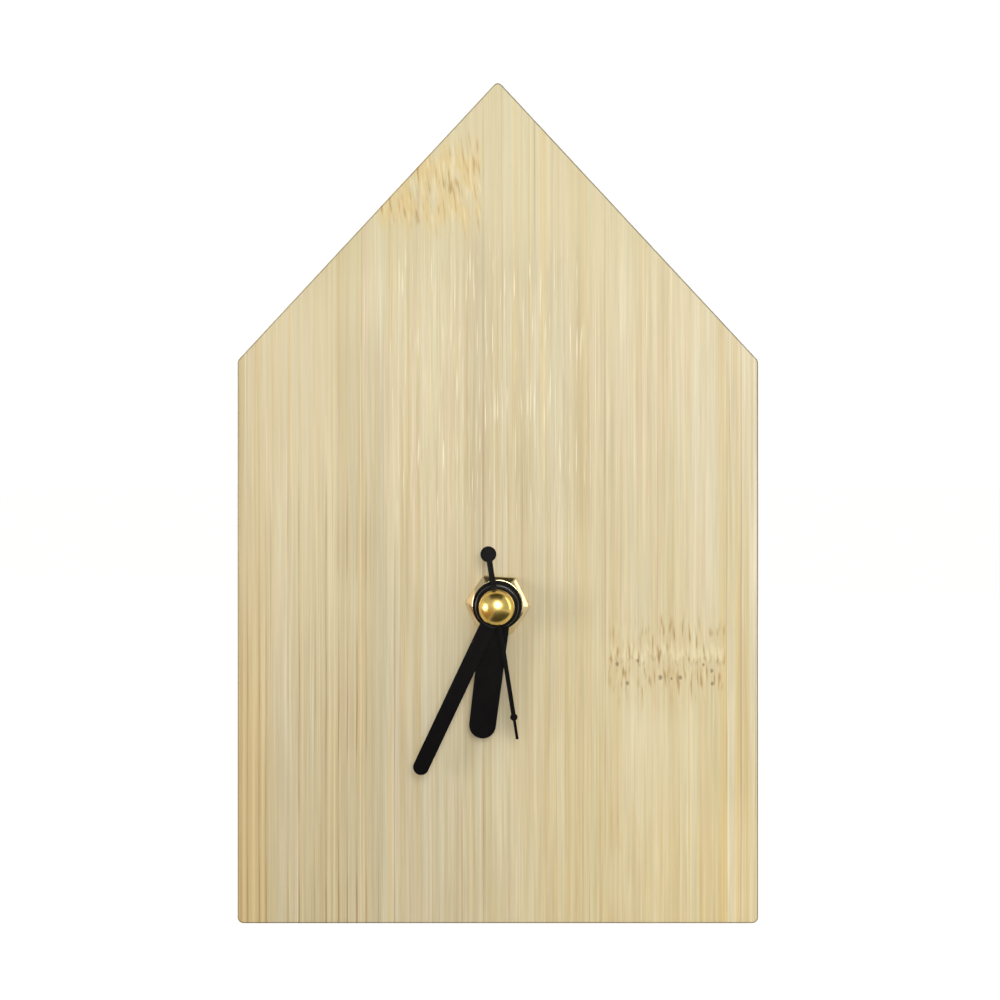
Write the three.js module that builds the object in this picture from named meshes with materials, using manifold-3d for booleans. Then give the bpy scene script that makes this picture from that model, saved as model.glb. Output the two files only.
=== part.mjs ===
// House-shaped desk clock: a bamboo front board on a glued-on rear foot, with a battery quartz
// movement clamped behind it by a hexagon nut, and three hands in front.
//
// Millimetres, +Z up. +Y points from the front of the clock to its back, so the dial side faces -Y.
// The origin is the middle of the board's bottom edge, on the surface that the clock stands on.

import * as THREE from "three";
import { mergeVertices } from "three/addons/utils/BufferGeometryUtils.js";
import Module from "manifold-3d";

const wasm = await Module();
wasm.setup();

// Board and foot
const BOARD_WIDTH = 93;
const EAVES_HEIGHT = 100.5;
const RIDGE_HEIGHT = 150.5;
const BOARD_THICKNESS = 8;
const BOARD_CORNER_RADIUS = 1;
const BOARD_EDGE_ROUND = 0.4;
const HANDS_HEIGHT = 57;
const FOOT_WIDTH = 70;
const FOOT_DEPTH = 33;
const FOOT_THICKNESS = 8;
const FOOT_CORNER_RADIUS = 8;
const DOWEL_SPACING = 44;
const DOWEL_DIAMETER = 4;
const DOWEL_IN_BOARD = 5;
const DOWEL_IN_FOOT = 15;

// Movement case, its cover and what clamps it to the board. CASE_SIZE is the case's height: its
// width follows from the coil on the right and from the cell that lies across it.
const CASE_SIZE = 56;
const PARTITION_REACH = 11;
const CASE_DEPTH = 16;
const CASE_CORNER_RADIUS = 3;
const CASE_WALL = 1.2;
const CASE_FLOOR = 1.4;
const COVER_THICKNESS = 1.2;
const CATCH_WIDTH = 4;
const CATCH_THICKNESS = 1;
const CATCH_REACH = 3;
const CATCH_BARB = 0.7;
const WASHER_THICKNESS = 0.6;
const WASHER_DIAMETER = 14;
const THREAD_DIAMETER = 7;
const THREAD_LENGTH = 11;
const BUSHING_BORE = 5.4;
const BUSHING_FLANGE_DIAMETER = 10;
const BUSHING_FLANGE_THICKNESS = 0.8;
const NUT_ACROSS_FLATS = 10;
const NUT_THICKNESS = 2;
const NUT_BEVEL = 0.35;
const NUT_CORNER_RADIUS = 0.25;
const NUT_TURN = 4;

// Gear train: tooth counts and the distances between arbors. The module of a pair follows from them.
const ROTOR_LEAVES = 6;
const INTERMEDIATE_TEETH = 36;
const INTERMEDIATE_LEAVES = 6;
const SECONDS_TEETH = 30;
const SECONDS_LEAVES = 6;
const THIRD_TEETH = 45;
const THIRD_LEAVES = 6;
const MINUTE_TEETH = 48;
const CANNON_LEAVES = 10;
const SETTING_TEETH = 30;
const SETTING_LEAVES = 8;
const HOUR_TEETH = 32;
const ROTOR_DISTANCE = 7;
const INTERMEDIATE_DISTANCE = 7.2;
const THIRD_DISTANCE = 10.2;
const SETTING_DISTANCE = 11;
const ROTOR_BEARING = 0;
const INTERMEDIATE_BEARING = -30;
const THIRD_BEARING = 45;
const SETTING_BEARING = 135;
const WHEEL_THICKNESS = 0.8;
const PINION_OVERLAP = 0.1;
const WHEEL_GAP = 0.4;
const PLATE_THICKNESS = 0.8;
const PLATE_LEFT_REACH = 17;
const PLATE_RIGHT_REACH = 17.9;
const PLATE_TOP_REACH = 19.4;
const PLATE_INSET = 0.9;
const PILLAR_DIAMETER = 2.8;
const PILLAR_PIN_DIAMETER = 1.4;
const BRIDGE_PILLAR_DIAMETER = 2;
const BRIDGE_PIN_DIAMETER = 1.1;
const BRIDGE_MARGIN = 1.5;
const BRIDGE_LOWER_BEARING = 241;
const BRIDGE_LOWER_REACH = 9.6;
const BRIDGE_UPPER_BEARING = 101;
const BRIDGE_UPPER_REACH = 13.2;
const BRIDGE_RIGHT_HEIGHT = 2.6;
const ARBOR_DIAMETER = 1;
const PIVOT_DIAMETER = 0.7;
const PIVOT_PLAY = 0.1;
const PIVOT_BOSS_DIAMETER = 2.2;
const STEM_DIAMETER = 3;
const SECONDS_HUB_WALL = 0.25;

// Shafts and hands
const SECONDS_SHAFT_DIAMETER = 1;
const MINUTE_PIPE_DIAMETER = 3;
const HOUR_PIPE_DIAMETER = 5;
const PIPE_PLAY = 0.2;
const PRESS_GAP = 0.05;
const NUT_TO_HOUR_HAND = 1.4;
const HAND_PITCH = 2;
const HAND_THICKNESS = 0.4;
const COLLAR_LENGTH = 1.2;
const COLLAR_WALL = 0.6;
const HOUR_HUB_DIAMETER = 9;
const HOUR_ROOT_WIDTH = 5.2;
const HOUR_TIP_WIDTH = 4.7;
const HOUR_HAND_LENGTH = 23.65;
const HOUR_HAND_ANGLE = 187;
const MINUTE_HUB_DIAMETER = 7.7;
const MINUTE_HAND_WIDTH = 2.81;
const MINUTE_HAND_LENGTH = 32.65;
const MINUTE_HAND_ANGLE = 205.3;
const SECOND_HAND_THICKNESS = 0.3;
const SECOND_HUB_DIAMETER = 5.4;
const SECOND_STEM_WIDTH = 0.78;
const SECOND_TIP_WIDTH = 0.5;
const SECOND_HAND_LENGTH = 23.4;
const SECOND_BEAD_DISTANCE = 19.5;
const SECOND_BEAD_DIAMETER = 1.3;
const SECOND_TAIL_LENGTH = 9.3;
const SECOND_TAIL_WIDTH = 0.9;
const SECOND_TAIL_DISC_DIAMETER = 2.7;
const SECOND_HAND_ANGLE = 171.1;
const CAP_DIAMETER = 5.8;
const CAP_FLANGE_DIAMETER = 6.5;
const CAP_FLANGE_THICKNESS = 0.35;
const CAP_SKIRT_HEIGHT = 1.1;
const CAP_TUBE_WALL = 0.45;

// Setting knob
const KNOB_DIAMETER = 9.5;
const KNOB_HEIGHT = 3;
const KNOB_FLUTES = 20;
const KNOB_FLUTE_DEPTH = 0.45;
const KNOB_GAP = 0.3;

// Stepping motor
const MAGNET_DIAMETER = 5.6;
const MAGNET_HEIGHT = 1.4;
const ROTOR_AIR_GAP = 0.5;
const STATOR_THICKNESS = 0.8;
const STATOR_PAD_WIDTH = 8.6;
const STATOR_ARM_WIDTH = 4.6;
const CORE_WIDTH = 3;
const CORE_THICKNESS = 0.8;
const COIL_X = 21.8;
const COIL_LOWER_SCREW = -8.7;
const COIL_WALL_GAP = 0.9;
const COIL_STRIP_GAP = 2.2;
const COIL_FLANGE_DIAMETER = 8.2;
const COIL_FLANGE_THICKNESS = 0.8;
const COIL_TUBE_DIAMETER = 4.4;
const COIL_WINDING_DIAMETER = 7.2;
const COIL_END_GAP = 1;
const SCREW_DIAMETER = 1.4;
const SCREW_HEAD_DIAMETER = 2.8;
const SCREW_HEAD_HEIGHT = 0.7;
const SCREW_LENGTH = 3.6;
const SCREW_POST_DIAMETER = 3.6;

// Circuit board
const PCB_THICKNESS = 0.8;
const PCB_SIDE_GAP = 1;
const PCB_PIN_INSET = 2;
const PCB_PIN_DIAMETER = 1.2;
const PCB_POST_DIAMETER = 2.4;
const PCB_STRIP_HEIGHT = 4.8;
const PCB_LEFT_WIDTH = 13.6;
const PCB_LEFT_HEIGHT = 13.4;
const CRYSTAL_DIAMETER = 2.1;
const CRYSTAL_LENGTH = 6.2;
const CRYSTAL_SIDE_INSET = 4.6;
const CRYSTAL_LOWER_INSET = 4;
const CHIP_DIAMETER = 6;
const CHIP_HEIGHT = 1.4;
const CHIP_INSET = 0.6;

// Battery and its contacts
const BATTERY_DIAMETER = 14.3;
const BATTERY_BODY_LENGTH = 49;
const BATTERY_NUB_LENGTH = 1.2;
const BATTERY_NUB_DIAMETER = 5.4;
const BATTERY_PLAY = 0.25;
const PARTITION_THICKNESS = 1;
const CONTACT_THICKNESS = 0.3;
const CONTACT_WIDTH = 4;
const CONTACT_GAP = 0.25;
const CONTACT_BOW = 2.25;
const CONTACT_TAB_LENGTH = 3.4;
const CONTACT_FOOT_GAP = 1;
const FINGER_NOTCH_WIDTH = 18;
const FINGER_NOTCH_DEPTH = 6;

// Clearance that lets one piece drop into another
const FIT_GAP = 0.1;

// Facets of the smallest round holes
const PIN_HOLE_SIDES = 10;
const PIVOT_HOLE_SIDES = 8;

const degrees = THREE.MathUtils.degToRad;

// Solids

// A closed geometry as a manifold solid, turned to face outwards.
function solid(geometry) {
  const bare = geometry.clone();
  bare.deleteAttribute("normal");
  bare.deleteAttribute("uv");
  const merged = mergeVertices(bare, 1e-4);
  const build = (triVerts) =>
    new wasm.Manifold(
      new wasm.Mesh({ numProp: 3, vertProperties: merged.attributes.position.array, triVerts }),
    );
  const triangles = new Uint32Array(merged.index.array);
  const made = build(triangles);
  if (made.volume() > 0) return made;
  return build(triangles.map((_, i) => triangles[i - (i % 3) + [0, 2, 1][i % 3]]));
}

function join(...solids) {
  return solids.reduce((whole, next) => whole.add(next));
}

function cut(body, ...tools) {
  return tools.reduce((left, tool) => left.subtract(tool), body);
}

// A solid back as a three.js geometry.
function geometryOf(body) {
  const { numProp, numVert, vertProperties, triVerts } = body.getMesh();
  const positions = new Float32Array(numVert * 3);
  for (let i = 0; i < numVert; i++) {
    positions.set(vertProperties.subarray(i * numProp, i * numProp + 3), i * 3);
  }
  const geometry = new THREE.BufferGeometry();
  geometry.setAttribute("position", new THREE.BufferAttribute(positions, 3));
  geometry.setIndex(new THREE.BufferAttribute(triVerts, 1));
  geometry.computeVertexNormals();
  return geometry;
}

// A shape drawn in the front view (x right, z up) as a slab from depth yFront to depth yBack.
function slab(shape, yFront, yBack, { bevel = 0, bevelSegments = 1, curveSegments = 2 } = {}) {
  const geometry = new THREE.ExtrudeGeometry(shape, {
    depth: yBack - yFront - 2 * bevel,
    bevelEnabled: bevel > 0,
    bevelSize: bevel,
    bevelThickness: bevel,
    bevelOffset: -bevel,
    bevelSegments,
    curveSegments,
  });
  geometry.rotateX(Math.PI / 2);
  geometry.translate(0, yBack - bevel, 0);
  return solid(geometry);
}

// A block between two corners.
function block([x0, y0, z0], [x1, y1, z1]) {
  const geometry = new THREE.BoxGeometry(x1 - x0, y1 - y0, z1 - z0);
  geometry.translate((x0 + x1) / 2, (y0 + y1) / 2, (z0 + z1) / 2);
  return solid(geometry);
}

// A turned piece about a line parallel to Y through (x, z). The profile is a list of [radius, y].
function turned(profile, { x = 0, z = 0, segments = 20 } = {}) {
  const points = profile.map(([radius, y]) => new THREE.Vector2(radius, y));
  const geometry = new THREE.LatheGeometry(points, segments);
  geometry.translate(x, 0, z);
  return solid(geometry);
}

function rod(radius, yFront, yBack, place = {}) {
  return turned([[0, yFront], [radius, yFront], [radius, yBack], [0, yBack]], place);
}

function tube(outer, inner, yFront, yBack, place = {}) {
  const profile = [[inner, yFront], [outer, yFront], [outer, yBack], [inner, yBack], [inner, yFront]];
  return turned(profile, place);
}

// Outlines in the front view

function circlePath(radius, x = 0, z = 0, sides = 12) {
  const points = Array.from({ length: sides }, (_, i) => along((360 * i) / sides, radius, [x, z]));
  return new THREE.Path(points.map(([px, pz]) => new THREE.Vector2(px, pz)));
}

function rectangle(x0, z0, x1, z1, radius) {
  const corners = [[x0 + radius, z0 + radius], [x1 - radius, z0 + radius],
    [x1 - radius, z1 - radius], [x0 + radius, z1 - radius]];
  return aroundCircles(corners.map(([x, z]) => [x, z, radius]));
}

// The taut outline round a ring of circles [x, z, radius], listed counter-clockwise.
function aroundCircles(circles) {
  const tangents = circles.map(([x, z, radius], i) => {
    const [nextX, nextZ, nextRadius] = circles[(i + 1) % circles.length];
    const bearing = Math.atan2(nextZ - z, nextX - x);
    return bearing - Math.acos((radius - nextRadius) / Math.hypot(nextX - x, nextZ - z));
  });
  const shape = new THREE.Shape();
  circles.forEach(([x, z, radius], i) => {
    const start = tangents[(i + circles.length - 1) % circles.length];
    shape.absarc(x, z, radius, start, tangents[i], false);
  });
  return shape;
}

// A polygon with every corner rounded by the same radius, listed counter-clockwise.
function roundedPolygon(corners, radius) {
  const shape = new THREE.Shape();
  corners.forEach(([x, z], i) => {
    const before = corners[(i + corners.length - 1) % corners.length];
    const after = corners[(i + 1) % corners.length];
    const arriving = Math.atan2(z - before[1], x - before[0]);
    const leaving = Math.atan2(after[1] - z, after[0] - x);
    const turn = (leaving - arriving + 2 * Math.PI) % (2 * Math.PI);
    const inward = arriving + turn / 2 + Math.PI / 2;
    const reach = radius / Math.cos(turn / 2);
    const centreX = x + reach * Math.cos(inward);
    const centreZ = z + reach * Math.sin(inward);
    shape.absarc(centreX, centreZ, radius, arriving - Math.PI / 2, leaving - Math.PI / 2, false);
  });
  return shape;
}

// A strip of sheet metal bent along a line of points in the front view.
function ribbon(points, thickness) {
  const side = (sign) =>
    points.map(([x, z], i) => {
      const normals = [i - 1, i]
        .filter((k) => k >= 0 && k < points.length - 1)
        .map((k) => {
          const [dx, dz] = [points[k + 1][0] - points[k][0], points[k + 1][1] - points[k][1]];
          return new THREE.Vector2(-dz, dx).normalize();
        });
      const mitre = normals.reduce((sum, n) => sum.clone().add(n)).normalize();
      const offset = (sign * thickness) / 2 / mitre.dot(normals[0]);
      return new THREE.Vector2(x + mitre.x * offset, z + mitre.y * offset);
    });
  return new THREE.Shape([...side(-1), ...side(1).reverse()]);
}

// Gears

// Tooth proportions as multiples of the module. Pinion leaves are thinner than wheel teeth and
// their gaps deeper, as in clockwork, which leaves some backlash.
const WHEEL_TOOTH = { rise: 1.15, fall: 1.25, tipHalf: 0.34, rootHalf: 0.95 };
const PINION_LEAF = { rise: 0.75, fall: 1.5, tipHalf: 0.26, rootHalf: 0.6 };

// The outline of a gear with a tooth centred on the bearing called phase.
function gearOutline(teeth, module, tooth, phase) {
  const pitchRadius = (teeth * module) / 2;
  const rootRadius = pitchRadius - tooth.fall * module;
  const tipRadius = pitchRadius + tooth.rise * module;
  const flanks = [
    [rootRadius, -tooth.rootHalf], [tipRadius, -tooth.tipHalf],
    [tipRadius, tooth.tipHalf], [rootRadius, tooth.rootHalf],
  ];
  const points = [];
  for (let i = 0; i < teeth; i++) {
    const centre = phase + (i * 2 * Math.PI) / teeth;
    for (const [radius, half] of flanks) {
      const angle = centre + (half * module) / radius;
      points.push(new THREE.Vector2(radius * Math.cos(angle), radius * Math.sin(angle)));
    }
  }
  return new THREE.Shape(points);
}

// Two gears in mesh. The driver stands at its own axis with a tooth on bearing 0; the driven gear,
// which lies along the bearing from it, is turned so that one of its gaps takes the driver's tooth.
function meshedPair({ driverTeeth, drivenTeeth, distance, bearing, driverTooth, drivenTooth }) {
  const module = (2 * distance) / (driverTeeth + drivenTeeth);
  const share = ((bearing / (2 * Math.PI)) * driverTeeth) % 1;
  const drivenPhase = bearing + Math.PI - ((0.5 - share) * 2 * Math.PI) / drivenTeeth;
  return {
    driver: gearOutline(driverTeeth, module, driverTooth, 0),
    driven: gearOutline(drivenTeeth, module, drivenTooth, drivenPhase),
  };
}

const rotorPair = meshedPair({
  driverTeeth: ROTOR_LEAVES, driverTooth: PINION_LEAF,
  drivenTeeth: INTERMEDIATE_TEETH, drivenTooth: WHEEL_TOOTH,
  distance: ROTOR_DISTANCE, bearing: degrees(ROTOR_BEARING + 180),
});
const intermediatePair = meshedPair({
  driverTeeth: INTERMEDIATE_LEAVES, driverTooth: PINION_LEAF,
  drivenTeeth: SECONDS_TEETH, drivenTooth: WHEEL_TOOTH,
  distance: INTERMEDIATE_DISTANCE, bearing: degrees(INTERMEDIATE_BEARING + 180),
});
const secondsPair = meshedPair({
  driverTeeth: SECONDS_LEAVES, driverTooth: PINION_LEAF,
  drivenTeeth: THIRD_TEETH, drivenTooth: WHEEL_TOOTH,
  distance: THIRD_DISTANCE, bearing: degrees(THIRD_BEARING),
});
const thirdPair = meshedPair({
  driverTeeth: THIRD_LEAVES, driverTooth: PINION_LEAF,
  drivenTeeth: MINUTE_TEETH, drivenTooth: WHEEL_TOOTH,
  distance: THIRD_DISTANCE, bearing: degrees(THIRD_BEARING + 180),
});
const cannonPair = meshedPair({
  driverTeeth: CANNON_LEAVES, driverTooth: PINION_LEAF,
  drivenTeeth: SETTING_TEETH, drivenTooth: WHEEL_TOOTH,
  distance: SETTING_DISTANCE, bearing: degrees(SETTING_BEARING),
});
const settingPair = meshedPair({
  driverTeeth: SETTING_LEAVES, driverTooth: PINION_LEAF,
  drivenTeeth: HOUR_TEETH, drivenTooth: WHEEL_TOOTH,
  distance: SETTING_DISTANCE, bearing: degrees(SETTING_BEARING + 180),
});

// Where things are. Bearings and places of arbors are seen from the front, from the hands' axis.
function along(bearing, distance, from = [0, 0]) {
  const angle = degrees(bearing);
  return [from[0] + distance * Math.cos(angle), from[1] + distance * Math.sin(angle)];
}
const intermediateAt = along(INTERMEDIATE_BEARING, INTERMEDIATE_DISTANCE);
const rotorAt = along(ROTOR_BEARING, ROTOR_DISTANCE, intermediateAt);
const thirdAt = along(THIRD_BEARING, THIRD_DISTANCE);
const settingAt = along(SETTING_BEARING, SETTING_DISTANCE);

// Depths, from the front of the clock to its back
const boardFront = -BOARD_THICKNESS / 2;
const boardBack = BOARD_THICKNESS / 2;
const caseFront = boardBack + WASHER_THICKNESS;
const caseInside = caseFront + CASE_FLOOR;
const caseRear = caseFront + CASE_DEPTH;
const coverInside = caseRear - COVER_THICKNESS;
const flangeRear = caseInside + BUSHING_FLANGE_THICKNESS;

// A wheel's two faces, a gap behind what lies in front of it.
function layer(behind, thickness = WHEEL_THICKNESS) {
  return { front: behind + WHEEL_GAP, back: behind + WHEEL_GAP + thickness };
}
const hourLayer = layer(flangeRear - WHEEL_GAP / 2);
const settingLayer = layer(hourLayer.back);
const minuteLayer = layer(settingLayer.back);
const middlePlate = layer(minuteLayer.back, PLATE_THICKNESS);
const thirdLayer = layer(middlePlate.back);
const secondsLayer = layer(thirdLayer.back + WHEEL_GAP / 2);
const intermediateLayer = layer(secondsLayer.back);
const bridge = layer(intermediateLayer.back + WHEEL_GAP / 2, PLATE_THICKNESS);
const statorLayer = layer(thirdLayer.back, STATOR_THICKNESS);
const coreLayer = { front: statorLayer.back, back: statorLayer.back + CORE_THICKNESS };
const coilDepth = (coreLayer.front + coreLayer.back) / 2;

const bushingTip = caseFront - THREAD_LENGTH;
const nutFront = boardFront - NUT_THICKNESS;
const hourHandBack = nutFront - NUT_TO_HOUR_HAND;
const minuteHandBack = hourHandBack - HAND_PITCH;
const secondHandBack = minuteHandBack - HAND_PITCH + FIT_GAP;
const collarLead = (COLLAR_LENGTH - HAND_THICKNESS) / 2;

// Inside faces of the case, seen from the front, from the hands' axis. The coil stands at the right
// wall. From there the positive contact, the cell and the bowed negative contact reach the left wall.
const insideRight = COIL_X + COIL_FLANGE_DIAMETER / 2 + COIL_WALL_GAP;
const positiveEnd = insideRight - FIT_GAP - CONTACT_THICKNESS - CONTACT_GAP;
const negativeEnd = positiveEnd - BATTERY_BODY_LENGTH - BATTERY_NUB_LENGTH;
const insideLeft = negativeEnd - CONTACT_GAP - CONTACT_BOW - CONTACT_THICKNESS / 2 - FIT_GAP;
const insideRadius = CASE_CORNER_RADIUS - CASE_WALL;
const bayHeight = BATTERY_DIAMETER + 2 * BATTERY_PLAY;
const partitionTop = -PARTITION_REACH;
const partitionBottom = partitionTop - PARTITION_THICKNESS;
const bayBottom = partitionBottom - bayHeight;
const caseBottom = bayBottom - CASE_WALL;
const insideTop = caseBottom + CASE_SIZE - CASE_WALL;
const batteryZ = bayBottom + bayHeight / 2;
const batteryY = caseInside + BATTERY_PLAY + BATTERY_DIAMETER / 2;

// Board and foot

function frontBoard() {
  const half = BOARD_WIDTH / 2;
  const outline = roundedPolygon(
    [[-half, 0], [half, 0], [half, EAVES_HEIGHT], [0, RIDGE_HEIGHT], [-half, EAVES_HEIGHT]],
    BOARD_CORNER_RADIUS,
  );
  const board = slab(outline, boardFront, boardBack, { bevel: BOARD_EDGE_ROUND, bevelSegments: 2 });
  const bushingHole = rod(THREAD_DIAMETER / 2 + 3 * FIT_GAP, boardFront - 1, boardBack + 1,
    { z: HANDS_HEIGHT, segments: 24 });
  return cut(board, bushingHole, ...dowelHoles());
}

function rearFoot() {
  const half = FOOT_WIDTH / 2;
  const front = boardBack;
  const back = boardBack + FOOT_DEPTH;
  const square = BOARD_CORNER_RADIUS;
  const outline = aroundCircles([
    [-half + square, front + square, square],
    [half - square, front + square, square],
    [half - FOOT_CORNER_RADIUS, back - FOOT_CORNER_RADIUS, FOOT_CORNER_RADIUS],
    [-half + FOOT_CORNER_RADIUS, back - FOOT_CORNER_RADIUS, FOOT_CORNER_RADIUS],
  ]);
  const geometry = new THREE.ExtrudeGeometry(outline, {
    depth: FOOT_THICKNESS - 2 * BOARD_EDGE_ROUND,
    bevelSize: BOARD_EDGE_ROUND,
    bevelThickness: BOARD_EDGE_ROUND,
    bevelOffset: -BOARD_EDGE_ROUND,
    bevelSegments: 2,
    curveSegments: 3,
  });
  geometry.translate(0, 0, BOARD_EDGE_ROUND);
  return cut(solid(geometry), ...dowelHoles());
}

function dowelHoles() {
  return [-1, 1].map((side) =>
    rod(DOWEL_DIAMETER / 2 + FIT_GAP, boardBack - DOWEL_IN_BOARD - FIT_GAP,
      boardBack + DOWEL_IN_FOOT + FIT_GAP,
      { x: (side * DOWEL_SPACING) / 2, z: FOOT_THICKNESS / 2, segments: 12 }),
  );
}

function dowel() {
  const radius = DOWEL_DIAMETER / 2;
  const chamfer = radius / 5;
  return turned([
    [0, -DOWEL_IN_BOARD], [radius - chamfer, -DOWEL_IN_BOARD], [radius, chamfer - DOWEL_IN_BOARD],
    [radius, DOWEL_IN_FOOT - chamfer], [radius - chamfer, DOWEL_IN_FOOT], [0, DOWEL_IN_FOOT],
  ], { segments: 12 });
}

// Case of the movement

// The middle plate's edges and the case's pillars that carry it, seen from the front
const plateEdge = {
  left: -PLATE_LEFT_REACH,
  right: PLATE_RIGHT_REACH,
  bottom: partitionTop + PLATE_INSET,
  top: PLATE_TOP_REACH,
};
const pillarInset = PILLAR_DIAMETER / 2 + FIT_GAP;
const platePillars = [
  [plateEdge.left + pillarInset, plateEdge.bottom + pillarInset],
  [plateEdge.right - pillarInset, plateEdge.bottom + pillarInset],
  [plateEdge.right - pillarInset, plateEdge.top - pillarInset],
  [plateEdge.left + pillarInset, plateEdge.top - pillarInset],
];
// The bridge's pillars stand on the middle plate, clear of the third wheel and the stator.
const bridgePillars = [
  along(BRIDGE_LOWER_BEARING, BRIDGE_LOWER_REACH),
  [plateEdge.right - BRIDGE_PILLAR_DIAMETER / 2 - FIT_GAP, BRIDGE_RIGHT_HEIGHT],
  along(BRIDGE_UPPER_BEARING, BRIDGE_UPPER_REACH),
];

// Circuit board, which hangs behind the coil on three pins of the case
const pcbFront = coreLayer.back + SCREW_HEAD_HEIGHT + 2 * FIT_GAP;
const pcbBack = pcbFront + PCB_THICKNESS;
const coverEdge = {
  left: insideLeft + FIT_GAP,
  right: insideRight - FIT_GAP,
  bottom: partitionTop + FIT_GAP,
  top: insideTop - FIT_GAP,
};
const pcbTop = coverEdge.top - CATCH_THICKNESS - FIT_GAP;
const pcbLeft = insideLeft + PCB_SIDE_GAP;
const pcbRight = insideRight - PCB_SIDE_GAP;
const pcbPinRow = pcbTop - PCB_STRIP_HEIGHT / 2;
const pcbPins = [
  [pcbLeft + PCB_PIN_INSET, pcbTop - PCB_LEFT_HEIGHT + PCB_PIN_INSET],
  [0, pcbPinRow],
  [COIL_X, pcbPinRow],
];
const coilUpperScrew = pcbTop - PCB_STRIP_HEIGHT - COIL_STRIP_GAP;
const coilScrews = [[COIL_X, COIL_LOWER_SCREW], [COIL_X, coilUpperScrew]];

// Where the cover's three catches stand and the way each one points
const sideCatchZ = partitionTop + insideRadius + CATCH_WIDTH / 2 + FIT_GAP;
const catches = [
  { at: [coverEdge.left, sideCatchZ], bearing: 180 },
  { at: [coverEdge.right, sideCatchZ], bearing: 0 },
  { at: [0, coverEdge.top], bearing: 90 },
];

// A post with a thinner pin on its end.
function pillar([x, z], diameter, pinDiameter, base, shoulder, pinEnd) {
  const [radius, pin] = [diameter / 2, pinDiameter / 2];
  return turned(
    [[0, base], [radius, base], [radius, shoulder], [pin, shoulder], [pin, pinEnd], [0, pinEnd]],
    { x, z, segments: 10 },
  );
}

function movementCase() {
  const beyond = caseRear + 1;
  const outline = rectangle(insideLeft - CASE_WALL, caseBottom, insideRight + CASE_WALL,
    insideTop + CASE_WALL, CASE_CORNER_RADIUS);
  const shell = slab(outline, caseFront, caseRear);
  const trainSpace = rectangle(insideLeft, partitionTop, insideRight, insideTop, insideRadius);
  const batterySpace = rectangle(insideLeft, bayBottom, insideRight, partitionBottom, insideRadius / 2);
  const notch = block(
    [-FINGER_NOTCH_WIDTH / 2, caseRear - FINGER_NOTCH_DEPTH, caseBottom - 1],
    [FINGER_NOTCH_WIDTH / 2, beyond, bayBottom + CASE_WALL / 2],
  );
  const bushingHole = rod(THREAD_DIAMETER / 2 + FIT_GAP, caseFront - 1, caseInside + 1, { segments: 24 });
  const hollow = cut(
    shell, slab(trainSpace, caseInside, beyond), slab(batterySpace, caseInside, beyond), notch, bushingHole,
    contactSlot(insideLeft, 1), contactSlot(insideRight, -1), ...catches.map(({ at, bearing }) => catchWindow(at, bearing)),
  );
  return cut(join(hollow, ...casePosts()), ...postBores());
}

// What stands on the case's floor: posts for the plates, the circuit board, the coil and two arbors.
function casePosts() {
  const root = caseInside - CASE_FLOOR / 2;
  return [
    ...platePillars.map((at) =>
      pillar(at, PILLAR_DIAMETER, PILLAR_PIN_DIAMETER, root, middlePlate.front, middlePlate.back + FIT_GAP)),
    ...pcbPins.map((at) =>
      pillar(at, PCB_POST_DIAMETER, PCB_PIN_DIAMETER, root, pcbFront, pcbBack + FIT_GAP)),
    ...coilScrews.map(([x, z]) =>
      rod(SCREW_POST_DIAMETER / 2, root, statorLayer.front, { x, z, segments: 12 })),
    ...[thirdAt, settingAt].map(([x, z]) =>
      rod(PIVOT_BOSS_DIAMETER / 2, root, hourLayer.front - FIT_GAP, { x, z, segments: 12 })),
  ];
}

function postBores() {
  return [
    ...coilScrews.map(([x, z]) =>
      rod(SCREW_DIAMETER / 2 + FIT_GAP, coreLayer.back - SCREW_LENGTH - FIT_GAP, statorLayer.front + 1,
        { x, z, segments: 10 })),
    ...[thirdAt, settingAt].map(([x, z]) =>
      rod(PIVOT_DIAMETER / 2 + PIVOT_PLAY, caseInside - 2 * FIT_GAP, hourLayer.front,
        { x, z, segments: 8 })),
  ];
}

// The gap in the partition that a battery contact passes through on its way up to the circuit board.
// The inward direction is 1 at the left wall and -1 at the right one.
function contactSlot(wall, inward) {
  const slotInner = wall + inward * 3 * CONTACT_THICKNESS;
  return block(
    [Math.min(wall, slotInner), contactFront - FIT_GAP, partitionBottom - 1],
    [Math.max(wall, slotInner), contactBack + FIT_GAP, partitionTop + insideRadius],
  );
}

// The hole in the case's wall that a catch's barb snaps into, cut outwards from the catch's back.
function catchWindow([x, z], bearing) {
  const half = CATCH_WIDTH / 2 + 2 * FIT_GAP;
  const tip = coverInside - CATCH_REACH;
  const geometry = new THREE.BoxGeometry(CASE_WALL + 1, 2 * CATCH_BARB + 2 * FIT_GAP, 2 * half);
  geometry.translate((CASE_WALL + 1) / 2, tip + CATCH_BARB, 0);
  geometry.rotateY(-degrees(bearing));
  geometry.translate(x, 0, z);
  return solid(geometry);
}

function rearCover() {
  const { left, right, bottom, top } = coverEdge;
  const outline = rectangle(left, bottom, right, top, insideRadius);
  outline.holes.push(circlePath(STEM_DIAMETER / 2 + PIPE_PLAY, ...settingAt));
  const plate = slab(outline, coverInside, caseRear);
  const collar = tube(STEM_DIAMETER / 2 + PIPE_PLAY + 1, STEM_DIAMETER / 2 + PIPE_PLAY,
    coverInside - 1, caseRear, { x: settingAt[0], z: settingAt[1] });
  return join(plate, collar, ...catches.map(({ at, bearing }) => catchLeg(at, bearing)));
}

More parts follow.
